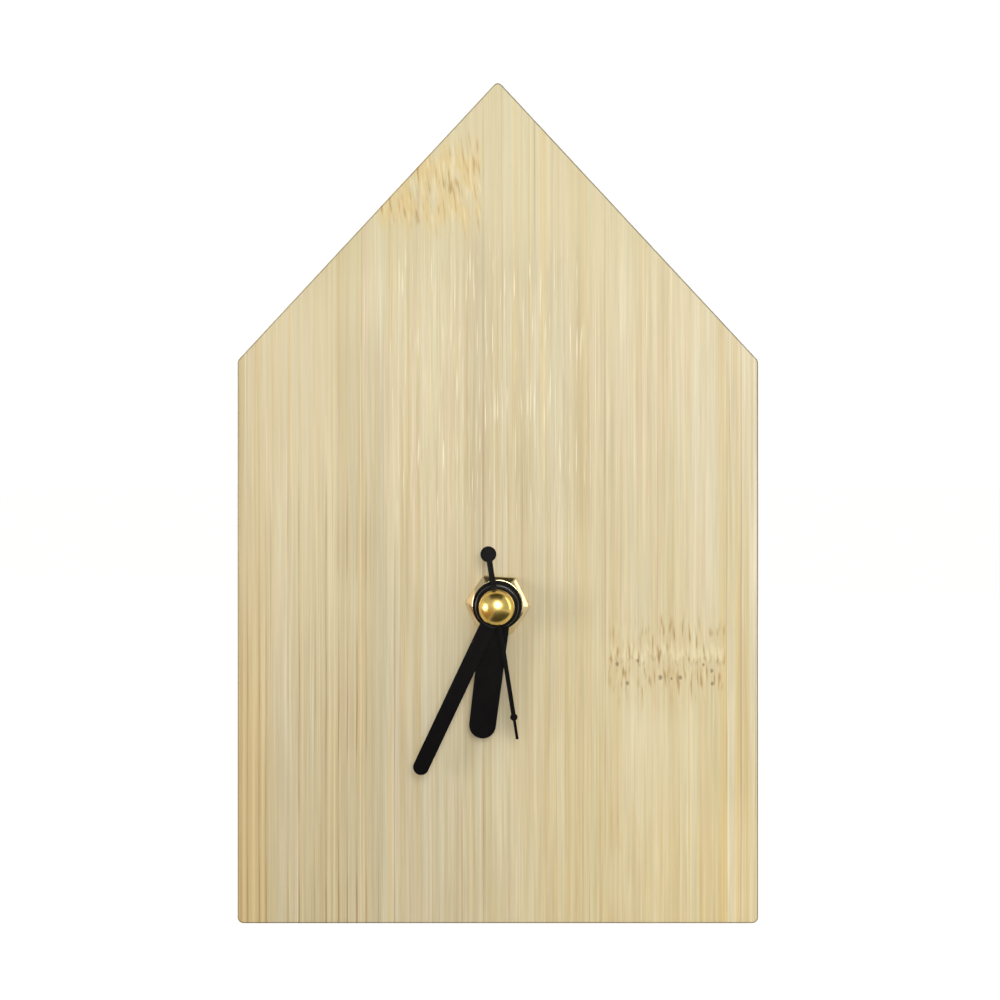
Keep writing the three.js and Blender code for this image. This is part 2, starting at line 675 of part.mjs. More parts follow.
// A spring leg on the cover with a wedge-shaped barb, drawn pointing right and turned to its bearing.
function catchLeg([x, z], bearing) {
  const tip = coverInside - CATCH_REACH;
  const profile = new THREE.Shape([
    new THREE.Vector2(-CATCH_THICKNESS, tip),
    new THREE.Vector2(0, tip),
    new THREE.Vector2(CATCH_BARB, tip + CATCH_BARB),
    new THREE.Vector2(CATCH_BARB, tip + 2 * CATCH_BARB),
    new THREE.Vector2(0, tip + 2 * CATCH_BARB),
    new THREE.Vector2(0, coverInside + COVER_THICKNESS / 2),
    new THREE.Vector2(-CATCH_THICKNESS, coverInside + COVER_THICKNESS / 2),
  ]);
  const geometry = new THREE.ExtrudeGeometry(profile, { depth: CATCH_WIDTH, bevelEnabled: false });
  geometry.translate(0, 0, -CATCH_WIDTH / 2);
  geometry.rotateY(-degrees(bearing));
  geometry.translate(x, 0, z);
  return solid(geometry);
}

function middlePlateSolid() {
  const { left, right, bottom, top } = plateEdge;
  const outline = rectangle(left, bottom, right, top, PILLAR_DIAMETER / 2);
  outline.holes.push(
    circlePath(SECONDS_SHAFT_DIAMETER / 2 + PIPE_PLAY),
    circlePath(ARBOR_DIAMETER / 2 + PIPE_PLAY, ...thirdAt),
    circlePath(STEM_DIAMETER / 2 + PIPE_PLAY, ...settingAt),
    circlePath(PIVOT_DIAMETER / 2 + PIVOT_PLAY, ...intermediateAt, PIVOT_HOLE_SIDES),
    circlePath(PIVOT_DIAMETER / 2 + PIVOT_PLAY, ...rotorAt, PIVOT_HOLE_SIDES),
    ...platePillars.map(([x, z]) => circlePath(PILLAR_PIN_DIAMETER / 2 + FIT_GAP, x, z, PIN_HOLE_SIDES)),
  );
  const pinHoles = pcbPins.map(([x, z]) =>
    rod(PCB_POST_DIAMETER / 2 + PIPE_PLAY, middlePlate.front - 1, middlePlate.back + 1, { x, z }));
  const plate = cut(slab(outline, middlePlate.front, middlePlate.back), ...pinHoles);
  const posts = bridgePillars.map((at) =>
    pillar(at, BRIDGE_PILLAR_DIAMETER, BRIDGE_PIN_DIAMETER, middlePlate.back - PLATE_THICKNESS / 2,
      bridge.front, bridge.back + FIT_GAP));
  return join(plate, ...posts);
}

function trainBridge() {
  const [lower, right, upper] = bridgePillars;
  const belowRotor = [rotorAt[0], rotorAt[1] - BRIDGE_MARGIN];
  const outline = aroundCircles([lower, belowRotor, right, upper].map((at) => [...at, BRIDGE_MARGIN]));
  const pivots = [[0, 0], thirdAt, intermediateAt, rotorAt];
  outline.holes.push(
    ...pivots.map((at) => circlePath(PIVOT_DIAMETER / 2 + PIVOT_PLAY, ...at, PIVOT_HOLE_SIDES)),
    ...bridgePillars.map((at) => circlePath(BRIDGE_PIN_DIAMETER / 2 + FIT_GAP, ...at, PIN_HOLE_SIDES)),
  );
  return slab(outline, bridge.front, bridge.back);
}

// What clamps the movement to the board

function threadedBushing() {
  const bore = BUSHING_BORE / 2;
  const thread = THREAD_DIAMETER / 2;
  const chamfer = 0.3;
  return turned([
    [bore, bushingTip], [thread - chamfer, bushingTip], [thread, bushingTip + chamfer],
    [thread, caseInside], [BUSHING_FLANGE_DIAMETER / 2, caseInside],
    [BUSHING_FLANGE_DIAMETER / 2, flangeRear], [bore, flangeRear], [bore, bushingTip],
  ]);
}

function rubberWasher() {
  return tube(WASHER_DIAMETER / 2, THREAD_DIAMETER / 2 + FIT_GAP, boardBack, caseFront, { segments: 24 });
}

// A hexagonal prism whose corners are chamfered at the front.
function hexNut() {
  const radius = NUT_ACROSS_FLATS / 2 / Math.cos(Math.PI / 6);
  const corners = Array.from({ length: 6 }, (_, i) => along(60 * i, radius));
  const outline = roundedPolygon(corners, NUT_CORNER_RADIUS);
  outline.holes.push(circlePath(THREAD_DIAMETER / 2 + FIT_GAP, 0, 0, 24));
  const bevelled = turned([
    [0, nutFront], [NUT_ACROSS_FLATS / 2 - NUT_BEVEL / 2, nutFront],
    [radius, nutFront + NUT_BEVEL * 1.5], [radius, boardFront], [0, boardFront],
  ], { segments: 36 });
  return slab(outline, nutFront, boardFront).intersect(bevelled);
}

// Wheels of the train. Each stands on its own axis, and its node is placed at its arbor.

function wheelDisc(outline, { front, back }, bore = 0) {
  if (bore > 0) outline.holes.push(circlePath(bore, 0, 0, 16));
  return slab(outline, front, back);
}

// An arbor with a thinner pivot at each end.
function arbor(frontPivot, frontShoulder, backShoulder, backPivot) {
  const [thick, thin] = [ARBOR_DIAMETER / 2, PIVOT_DIAMETER / 2];
  return turned([
    [0, frontPivot], [thin, frontPivot], [thin, frontShoulder], [thick, frontShoulder],
    [thick, backShoulder], [thin, backShoulder], [thin, backPivot], [0, backPivot],
  ], { segments: 8 });
}

function rotorPinion() {
  const shoulder = middlePlate.back + WHEEL_GAP / 2;
  const { front, back } = intermediateLayer;
  return join(
    slab(rotorPair.driver, front - PINION_OVERLAP, back + PINION_OVERLAP),
    arbor(middlePlate.front + FIT_GAP, shoulder, bridge.front - FIT_GAP, bridge.back - FIT_GAP),
  );
}

function rotorMagnet() {
  const middle = (statorLayer.front + statorLayer.back) / 2;
  return tube(MAGNET_DIAMETER / 2, ARBOR_DIAMETER / 2 + PRESS_GAP,
    middle - MAGNET_HEIGHT / 2, middle + MAGNET_HEIGHT / 2);
}

function intermediateWheel() {
  return join(
    wheelDisc(rotorPair.driven, intermediateLayer),
    slab(intermediatePair.driver, secondsLayer.front - PINION_OVERLAP, intermediateLayer.front + FIT_GAP),
    arbor(middlePlate.front + FIT_GAP, middlePlate.back + WHEEL_GAP / 2, bridge.front - FIT_GAP,
      bridge.back - FIT_GAP),
  );
}

function secondsWheel() {
  const bore = SECONDS_SHAFT_DIAMETER / 2 + PRESS_GAP;
  const pinion = slab(secondsPair.driver, thirdLayer.front - PINION_OVERLAP, secondsLayer.front + FIT_GAP);
  const hub = rod(bore + SECONDS_HUB_WALL, secondsLayer.front, bridge.front - FIT_GAP, { segments: 12 });
  const whole = join(wheelDisc(intermediatePair.driven, secondsLayer), pinion, hub);
  return cut(whole, rod(bore, middlePlate.back, bridge.back, { segments: 12 }));
}

function thirdWheel() {
  return join(
    wheelDisc(secondsPair.driven, thirdLayer),
    slab(thirdPair.driver, minuteLayer.front - PINION_OVERLAP, minuteLayer.back + PINION_OVERLAP),
    arbor(caseInside - FIT_GAP, hourLayer.front, bridge.front - FIT_GAP, bridge.back - FIT_GAP),
  );
}

function minuteWheel() {
  return wheelDisc(thirdPair.driven, minuteLayer, MINUTE_PIPE_DIAMETER / 2 + PRESS_GAP);
}

function cannonPinion() {
  const bore = SECONDS_SHAFT_DIAMETER / 2 + PIPE_PLAY;
  const tip = minuteHandBack - HAND_THICKNESS - collarLead;
  const pipe = tube(MINUTE_PIPE_DIAMETER / 2, bore, tip, minuteLayer.back + FIT_GAP, { segments: 16 });
  const leaves = slab(cannonPair.driver, settingLayer.front - PINION_OVERLAP, minuteLayer.front - FIT_GAP);
  return join(pipe, cut(leaves, rod(bore, settingLayer.front - 1, minuteLayer.front, { segments: 16 })));
}

function settingWheel() {
  const shoulder = settingLayer.back;
  const stem = turned([
    [0, caseInside - FIT_GAP], [PIVOT_DIAMETER / 2, caseInside - FIT_GAP],
    [PIVOT_DIAMETER / 2, hourLayer.front - PINION_OVERLAP / 2],
    [ARBOR_DIAMETER / 2, hourLayer.front - PINION_OVERLAP / 2], [ARBOR_DIAMETER / 2, shoulder],
    [STEM_DIAMETER / 2, shoulder], [STEM_DIAMETER / 2, caseRear + KNOB_GAP + KNOB_HEIGHT / 2],
    [0, caseRear + KNOB_GAP + KNOB_HEIGHT / 2],
  ], { segments: 16 });
  return join(
    stem,
    slab(settingPair.driver, hourLayer.front - PINION_OVERLAP / 2, settingLayer.front + FIT_GAP),
    wheelDisc(cannonPair.driven, settingLayer),
  );
}

function hourWheel() {
  const outer = HOUR_PIPE_DIAMETER / 2;
  const bore = MINUTE_PIPE_DIAMETER / 2 + PIPE_PLAY;
  const tip = hourHandBack - HAND_THICKNESS - collarLead;
  const pipe = tube(outer, bore, tip, hourLayer.back, { segments: 20 });
  return join(pipe, wheelDisc(settingPair.driven, hourLayer, bore));
}

function secondsShaft() {
  const tip = secondHandBack - SECOND_HAND_THICKNESS - CAP_FLANGE_THICKNESS - CAP_SKIRT_HEIGHT / 2;
  return turned([
    [0, tip], [SECONDS_SHAFT_DIAMETER / 2, tip],
    [SECONDS_SHAFT_DIAMETER / 2, bridge.front - FIT_GAP], [PIVOT_DIAMETER / 2, bridge.front - FIT_GAP],
    [PIVOT_DIAMETER / 2, bridge.back - FIT_GAP], [0, bridge.back - FIT_GAP],
  ], { segments: 12 });
}

function settingKnob() {
  const front = caseRear + KNOB_GAP;
  const back = front + KNOB_HEIGHT;
  const radius = KNOB_DIAMETER / 2;
  const outline = new THREE.Shape(
    Array.from({ length: KNOB_FLUTES * 2 }, (_, i) => {
      const r = i % 2 ? radius - KNOB_FLUTE_DEPTH : radius;
      const angle = (i * Math.PI) / KNOB_FLUTES;
      return new THREE.Vector2(r * Math.cos(angle), r * Math.sin(angle));
    }),
  );
  const grip = slab(outline, front, back, { bevel: 0.3 });
  const dish = rod(radius - 1.5, back - 0.5, back + 1);
  const socket = rod(STEM_DIAMETER / 2 + PRESS_GAP, front - 1, front + KNOB_HEIGHT / 2 + FIT_GAP,
    { segments: 16 });
  return cut(grip, dish, socket);
}

// Hands, drawn pointing at twelve with their axis at the origin, and their own front at -Y

function handPlate(outline, thickness, ...extras) {
  return join(slab(outline, -thickness, 0, { curveSegments: 6 }), ...extras);
}

function handWithCollar(hubDiameter, blade, pipeDiameter) {
  const bore = pipeDiameter / 2 + PRESS_GAP;
  const hub = rod(hubDiameter / 2, -HAND_THICKNESS, 0, { segments: 36 });
  const collar = rod(bore + COLLAR_WALL, -HAND_THICKNESS - collarLead, collarLead);
  const hole = rod(bore, -COLLAR_LENGTH, COLLAR_LENGTH);
  return cut(handPlate(blade, HAND_THICKNESS, hub, collar), hole);
}

function hourHand() {
  const tip = HOUR_TIP_WIDTH / 2;
  const blade = aroundCircles([[0, 0, HOUR_ROOT_WIDTH / 2], [0, HOUR_HAND_LENGTH - tip, tip]]);
  return handWithCollar(HOUR_HUB_DIAMETER, blade, HOUR_PIPE_DIAMETER);
}

function minuteHand() {
  const half = MINUTE_HAND_WIDTH / 2;
  const blade = aroundCircles([[0, 0, half], [0, MINUTE_HAND_LENGTH - half, half]]);
  return handWithCollar(MINUTE_HUB_DIAMETER, blade, MINUTE_PIPE_DIAMETER);
}

function secondHand() {
  const stem = SECOND_STEM_WIDTH / 2;
  const point = SECOND_TIP_WIDTH / 2;
  const tail = SECOND_TAIL_WIDTH / 2;
  const depth = [-SECOND_HAND_THICKNESS, 0];
  const pointer = aroundCircles([[0, 0, stem], [0, SECOND_BEAD_DISTANCE, stem]]);
  const needle = aroundCircles([[0, SECOND_BEAD_DISTANCE, point], [0, SECOND_HAND_LENGTH - point, point]]);
  const tailBar = aroundCircles([[0, -SECOND_TAIL_LENGTH, tail], [0, 0, SECOND_TAIL_WIDTH]]);
  const disc = (radius, z, segments) => rod(radius, ...depth, { z, segments });
  return cut(
    join(
      slab(pointer, ...depth),
      slab(needle, ...depth),
      slab(tailBar, ...depth),
      disc(SECOND_BEAD_DIAMETER / 2, SECOND_BEAD_DISTANCE, 12),
      disc(SECOND_TAIL_DISC_DIAMETER / 2, -SECOND_TAIL_LENGTH, 20),
      disc(SECOND_HUB_DIAMETER / 2, 0, 24),
    ),
    rod(capTubeRadius + PRESS_GAP, -1, 1, { segments: 16 }),
  );
}

// The brass cap on the second hand: a tube that grips the shaft, a flange and a dome.
const capBore = SECONDS_SHAFT_DIAMETER / 2 + PRESS_GAP;
const capTubeRadius = capBore + CAP_TUBE_WALL;

function secondHandCap() {
  const flangeBack = -SECOND_HAND_THICKNESS;
  const flangeFront = flangeBack - CAP_FLANGE_THICKNESS;
  const equator = flangeFront - CAP_SKIRT_HEIGHT;
  const dome = CAP_DIAMETER / 2;
  const boreEnd = flangeFront - CAP_SKIRT_HEIGHT / 2 - FIT_GAP;
  const steps = 6;
  const crown = Array.from({ length: steps + 1 }, (_, i) => {
    const angle = (i / steps) * (Math.PI / 2);
    return [i === steps ? 0 : dome * Math.cos(angle), equator - dome * Math.sin(angle)];
  });
  return turned([
    [0, boreEnd], [capBore, boreEnd], [capBore, FIT_GAP], [capTubeRadius, FIT_GAP],
    [capTubeRadius, flangeBack], [CAP_FLANGE_DIAMETER / 2, flangeBack],
    [CAP_FLANGE_DIAMETER / 2, flangeFront], [dome, flangeFront], ...crown,
  ], { segments: 24 });
}

// Stepping motor

const coilEnd = SCREW_POST_DIAMETER / 2;

// The flat C of soft iron round the rotor. Its two ends lie on the case's screw pillars.
function statorPlate() {
  const pad = STATOR_PAD_WIDTH / 2;
  const arm = STATOR_ARM_WIDTH / 2;
  const [x, z] = rotorAt;
  const bottom = COIL_LOWER_SCREW - coilEnd;
  const faces = [statorLayer.front, statorLayer.back];
  const right = COIL_X + coilEnd;
  const rotorPad = slab(rectangle(x - pad, bottom, x + pad, z + pad, 1), ...faces);
  const lowerArm = slab(rectangle(x, bottom, right, COIL_LOWER_SCREW + coilEnd, 1), ...faces);
  const upright = slab(rectangle(x - arm, z, x + arm, coilUpperScrew + coilEnd, 1), ...faces);
  const upperArm = slab(
    rectangle(x - arm, coilUpperScrew - coilEnd, right, coilUpperScrew + coilEnd, 1), ...faces);
  return cut(
    join(rotorPad, lowerArm, upright, upperArm),
    rod(MAGNET_DIAMETER / 2 + ROTOR_AIR_GAP, faces[0] - 1, faces[1] + 1, { x, z, segments: 20 }),
    ...screwHoles(...faces),
  );
}

function screwHoles(front, back) {
  return coilScrews.map(([x, z]) =>
    rod(SCREW_DIAMETER / 2 + FIT_GAP, front - 1, back + 1, { x, z, segments: PIN_HOLE_SIDES }));
}

function coilCore() {
  const half = CORE_WIDTH / 2;
  const [bottom, top] = [COIL_LOWER_SCREW - coilEnd, coilUpperScrew + coilEnd];
  const outline = rectangle(COIL_X - half, bottom, COIL_X + half, top, 1);
  return cut(slab(outline, coreLayer.front, coreLayer.back), ...screwHoles(coreLayer.front, coreLayer.back));
}

// A round piece about the coil's own upright axis, between two heights.
function onCoilAxis(outer, inner, zBottom, zTop, segments = 20) {
  const geometry = new THREE.LatheGeometry(
    [[inner, zBottom], [outer, zBottom], [outer, zTop], [inner, zTop], [inner, zBottom]]
      .map(([radius, z]) => new THREE.Vector2(radius, z)),
    segments,
  );
  geometry.rotateX(Math.PI / 2);
  geometry.translate(COIL_X, coilDepth, 0);
  return solid(geometry);
}

const coilBottom = COIL_LOWER_SCREW + coilEnd + COIL_END_GAP;
const coilTop = coilUpperScrew - coilEnd - COIL_END_GAP;

function coilBobbin() {
  const flange = COIL_FLANGE_DIAMETER / 2;
  const core = [CORE_WIDTH / 2 + FIT_GAP, CORE_THICKNESS / 2 + FIT_GAP];
  const bore = Math.hypot(...core) / 2;
  const slot = block(
    [COIL_X - core[0], coilDepth - core[1], coilBottom - 1],
    [COIL_X + core[0], coilDepth + core[1], coilTop + 1],
  );
  const tabLeft = COIL_X - flange + 0.2;
  const tab = block(
    [tabLeft, pcbFront - FIT_GAP - 0.7, coilTop - COIL_FLANGE_THICKNESS],
    [tabLeft + 1.8, pcbFront - FIT_GAP, pcbTop - PCB_STRIP_HEIGHT + 1.6],
  );
  return cut(
    join(
      onCoilAxis(COIL_TUBE_DIAMETER / 2, bore / 2, coilBottom, coilTop),
      onCoilAxis(flange, bore / 2, coilBottom, coilBottom + COIL_FLANGE_THICKNESS),
      onCoilAxis(flange, bore / 2, coilTop - COIL_FLANGE_THICKNESS, coilTop),
      tab,
    ),
    slot,
  );
}

function coilWinding() {
  return onCoilAxis(COIL_WINDING_DIAMETER / 2, COIL_TUBE_DIAMETER / 2 + PRESS_GAP,
    coilBottom + COIL_FLANGE_THICKNESS + PRESS_GAP, coilTop - COIL_FLANGE_THICKNESS - PRESS_GAP);
}

function statorScrew() {
  const head = coreLayer.back;
  return turned([
    [0, head - SCREW_LENGTH], [SCREW_DIAMETER / 2 - 0.2, head - SCREW_LENGTH],
    [SCREW_DIAMETER / 2, head - SCREW_LENGTH + 0.4], [SCREW_DIAMETER / 2, head],
    [SCREW_HEAD_DIAMETER / 2, head], [SCREW_HEAD_DIAMETER / 2, head + SCREW_HEAD_HEIGHT / 2],
    [SCREW_HEAD_DIAMETER / 3, head + SCREW_HEAD_HEIGHT], [0, head + SCREW_HEAD_HEIGHT],
  ], { segments: 10 });
}

// Electronics

function circuitBoard() {
  const step = pcbLeft + PCB_LEFT_WIDTH;
  const outline = new THREE.Shape([
    [pcbLeft, pcbTop - PCB_LEFT_HEIGHT], [step, pcbTop - PCB_LEFT_HEIGHT],
    [step, pcbTop - PCB_STRIP_HEIGHT], [pcbRight, pcbTop - PCB_STRIP_HEIGHT],
    [pcbRight, pcbTop], [pcbLeft, pcbTop],
  ].map(([x, z]) => new THREE.Vector2(x, z)));
  outline.holes.push(
    ...pcbPins.map((at) => circlePath(PCB_PIN_DIAMETER / 2 + FIT_GAP, ...at, PIN_HOLE_SIDES)));
  return slab(outline, pcbFront, pcbBack);
}

function quartzCrystal() {
  const radius = CRYSTAL_DIAMETER / 2;
  return turned([
    [0, 0], [radius, 0], [radius, CRYSTAL_LENGTH - 0.3], [radius - 0.3, CRYSTAL_LENGTH], [0, CRYSTAL_LENGTH],
  ], { segments: 12 });
}

function controlChip() {
  const radius = CHIP_DIAMETER / 2;
  return turned([
    [0, 0], [radius, 0], [radius * 0.85, CHIP_HEIGHT * 0.55], [radius * 0.5, CHIP_HEIGHT * 0.9],
    [0, CHIP_HEIGHT],
  ], { segments: 16 });
}

// Battery and contacts

const contactBack = pcbFront - 2 * FIT_GAP;
const contactFront = contactBack - CONTACT_WIDTH;

// Both contacts run up the side walls to the circuit board. The negative one is bowed inwards, so
// that it presses on the cell. The inward direction is 1 at the left wall and -1 at the right one.
function contactStrip(wall, inward, bow) {
  const bend = BATTERY_DIAMETER / 3;
  const x = wall + inward * (FIT_GAP + CONTACT_THICKNESS / 2);
  const path = [[x + inward * CONTACT_TAB_LENGTH, pcbPinRow], [x, pcbPinRow], [x, batteryZ + bend]];
  if (bow > 0) path.push([x + inward * bow, batteryZ]);
  path.push([x, batteryZ - bend], [x, bayBottom + CONTACT_FOOT_GAP]);
  return slab(ribbon(path, CONTACT_THICKNESS), contactFront, contactBack);
}

function battery() {
  const radius = BATTERY_DIAMETER / 2;
  const nub = BATTERY_NUB_DIAMETER / 2;
  const edge = 0.6;
  const end = BATTERY_BODY_LENGTH;
  return turned([
    [0, 0], [radius - edge, 0], [radius, edge], [radius, end - edge], [radius - edge, end],
    [nub, end], [nub, end + BATTERY_NUB_LENGTH * 0.7], [nub * 0.8, end + BATTERY_NUB_LENGTH],
    [0, end + BATTERY_NUB_LENGTH],
  ], { segments: 28 });
}

// Assembly

const FINISHES = {
  bamboo: { color: 0xd9c79a, roughness: 0.55, metalness: 0 },
  beech: { color: 0xc9a877, roughness: 0.7, metalness: 0 },
  blackPlastic: { color: 0x1b1b1c, roughness: 0.5, metalness: 0 },
  blackPaint: { color: 0x121113, roughness: 0.55, metalness: 0 },
  brass: { color: 0xd8b54a, roughness: 0.22, metalness: 1 },
  steel: { color: 0xb9bbbd, roughness: 0.3, metalness: 1 },
  iron: { color: 0x8d8f92, roughness: 0.45, metalness: 1 },
  magnet: { color: 0x3a3a3d, roughness: 0.5, metalness: 0.6 },
  copper: { color: 0xb4562c, roughness: 0.35, metalness: 1 },
  rubber: { color: 0x1d1d1d, roughness: 0.9, metalness: 0 },
  whitePlastic: { color: 0xe8e6df, roughness: 0.5, metalness: 0 },
  greenPlastic: { color: 0x3f7d4c, roughness: 0.5, metalness: 0 },
  circuitBoard: { color: 0x9a7b3c, roughness: 0.5, metalness: 0 },
  batteryJacket: { color: 0x2b5c8c, roughness: 0.35, metalness: 0.2 },
};
const materials = Object.fromEntries(
  Object.entries(FINISHES).map(([name, finish]) => {
    return [name, new THREE.MeshStandardMaterial({ name, ...finish })];
  }),
);

function piece(name, body, finish, position = [0, 0, 0], rotation = [0, 0, 0]) {
  const mesh = new THREE.Mesh(geometryOf(body), materials[finish]);
  mesh.name = name;
  mesh.position.set(...position);
  mesh.rotation.set(...rotation);
  return mesh;
}

function group(children, position = [0, 0, 0]) {
  const made = new THREE.Group();
  made.position.set(...position);
  made.add(...children);
  return made;
}

const at = ([x, z], y = 0) => [x, y, z];
const clockAngle = (angle) => [0, degrees(angle), 0];

const woodwork = group([
  piece("front_board", frontBoard(), "bamboo"),
  piece("rear_foot", rearFoot(), "bamboo"),
  ...["left", "right"].map((side, i) =>
    piece(`foot_dowel_${side}`, dowel(), "beech",
      [((2 * i - 1) * DOWEL_SPACING) / 2, boardBack, FOOT_THICKNESS / 2])),
]);

const movement = group([
  piece("movement_case", movementCase(), "blackPlastic"),
  piece("rear_cover", rearCover(), "blackPlastic"),
  piece("threaded_bushing", threadedBushing(), "brass"),
  piece("rubber_washer", rubberWasher(), "rubber"),
  piece("hex_nut", hexNut(), "brass", [0, 0, 0], clockAngle(NUT_TURN)),
  piece("middle_plate", middlePlateSolid(), "whitePlastic"),
  piece("train_bridge", trainBridge(), "whitePlastic"),
  piece("hour_wheel", hourWheel(), "blackPlastic"),
  piece("cannon_pinion", cannonPinion(), "brass"),
  piece("minute_wheel", minuteWheel(), "greenPlastic"),
  piece("third_wheel", thirdWheel(), "whitePlastic", at(thirdAt)),
  piece("seconds_wheel", secondsWheel(), "greenPlastic"),
  piece("seconds_shaft", secondsShaft(), "steel"),
  piece("intermediate_wheel", intermediateWheel(), "whitePlastic", at(intermediateAt)),
  piece("rotor_pinion", rotorPinion(), "whitePlastic", at(rotorAt)),
  piece("rotor_magnet", rotorMagnet(), "magnet", at(rotorAt)),
  piece("setting_wheel", settingWheel(), "whitePlastic", at(settingAt)),
  piece("setting_knob", settingKnob(), "blackPlastic", at(settingAt)),
  piece("stator_plate", statorPlate(), "iron"),
  piece("coil_core", coilCore(), "iron"),
  piece("coil_bobbin", coilBobbin(), "whitePlastic"),
  piece("coil_winding", coilWinding(), "copper"),
  ...["lower", "upper"].map((place, i) =>
    piece(`stator_screw_${place}`, statorScrew(), "steel", at(coilScrews[i]))),
  piece("circuit_board", circuitBoard(), "circuitBoard"),
  piece("quartz_crystal", quartzCrystal(), "steel",
    at([pcbLeft + CRYSTAL_SIDE_INSET, pcbTop - PCB_LEFT_HEIGHT + CRYSTAL_LOWER_INSET],
      pcbBack + PRESS_GAP + CRYSTAL_DIAMETER / 2),
    [Math.PI / 2, 0, 0]),
  piece("control_chip", controlChip(), "blackPlastic",
    at([pcbLeft + PCB_LEFT_WIDTH - CHIP_DIAMETER / 2 - CHIP_INSET, pcbTop - PCB_LEFT_HEIGHT / 2], pcbBack)),
  piece("battery_contact_positive", contactStrip(insideRight, -1, 0), "steel"),
  piece("battery_contact_negative", contactStrip(insideLeft, 1, CONTACT_BOW), "steel"),
  piece("battery_cell", battery(), "batteryJacket", [negativeEnd, batteryY, batteryZ], [0, 0, -Math.PI / 2]),
  piece("hour_hand", hourHand(), "blackPaint", [0, hourHandBack, 0], clockAngle(HOUR_HAND_ANGLE)),
  piece("minute_hand", minuteHand(), "blackPaint", [0, minuteHandBack, 0], clockAngle(MINUTE_HAND_ANGLE)),
  piece("second_hand", secondHand(), "blackPaint", [0, secondHandBack, 0], clockAngle(SECOND_HAND_ANGLE)),
  piece("second_hand_cap", secondHandCap(), "brass", [0, secondHandBack, 0]),
], [0, 0, HANDS_HEIGHT]);

export default group([woodwork, movement]);
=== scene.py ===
"""Looks of a house-shaped desk clock: a bamboo board on a glued-on foot, a battery quartz movement
behind it, and three black hands in front.

Lengths of the pieces are written in millimetres and made into metres where Blender is called.
The stage and the camera are written in metres. +Z is up and the dial side faces -Y. Pieces sit
where the solids of the frame are, and ride on the same bodies.
"""

import math

import bmesh
import bpy
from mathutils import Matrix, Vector


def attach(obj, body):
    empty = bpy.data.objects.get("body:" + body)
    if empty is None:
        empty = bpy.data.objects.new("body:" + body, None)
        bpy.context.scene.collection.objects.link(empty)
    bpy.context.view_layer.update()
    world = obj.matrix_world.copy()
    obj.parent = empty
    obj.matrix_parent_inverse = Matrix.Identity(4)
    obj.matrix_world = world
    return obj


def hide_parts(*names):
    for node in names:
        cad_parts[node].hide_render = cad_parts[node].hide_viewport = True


MM = 0.001
HANDS_HEIGHT = 57
HOUR_ANGLE = 187
MINUTE_ANGLE = 205.3
SECOND_ANGLE = 171.1
HAND_THICKNESS = 0.38
KNOB_X = -7.778
KNOB_Z = HANDS_HEIGHT + 7.778
CELL_START = -24.05
CELL_DEPTH = 13.4
CELL_HEIGHT = HANDS_HEIGHT - 19.4

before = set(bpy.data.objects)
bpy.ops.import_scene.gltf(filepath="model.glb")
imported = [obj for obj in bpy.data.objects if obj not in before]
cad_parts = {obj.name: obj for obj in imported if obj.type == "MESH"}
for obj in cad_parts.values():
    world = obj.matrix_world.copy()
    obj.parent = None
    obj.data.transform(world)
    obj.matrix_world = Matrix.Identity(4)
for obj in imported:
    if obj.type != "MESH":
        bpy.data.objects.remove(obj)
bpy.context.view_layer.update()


# Shader maths

class Socket:
    """An output of a finish's node tree, to be calculated with."""

    def __init__(self, finish, socket):
        self.finish = finish
        self.socket = socket

    def maths(self, operation, *values):
        inputs = dict(enumerate(values))
        return self.finish.node("Math", inputs, operation=operation)

    def __add__(self, other):
        return self.maths("ADD", self, other)

    def __radd__(self, other):
        return self.maths("ADD", other, self)

    def __sub__(self, other):
        return self.maths("SUBTRACT", self, other)

    def __rsub__(self, other):
        return self.maths("SUBTRACT", other, self)

    def __mul__(self, other):
        return self.maths("MULTIPLY", self, other)

    def __rmul__(self, other):
        return self.maths("MULTIPLY", other, self)

    def __truediv__(self, other):
        return self.maths("DIVIDE", self, other)

    def __abs__(self):
        return self.maths("ABSOLUTE", self)

    def floor(self):
        return self.maths("FLOOR", self)

    def fraction(self):
        return self.maths("FRACT", self)


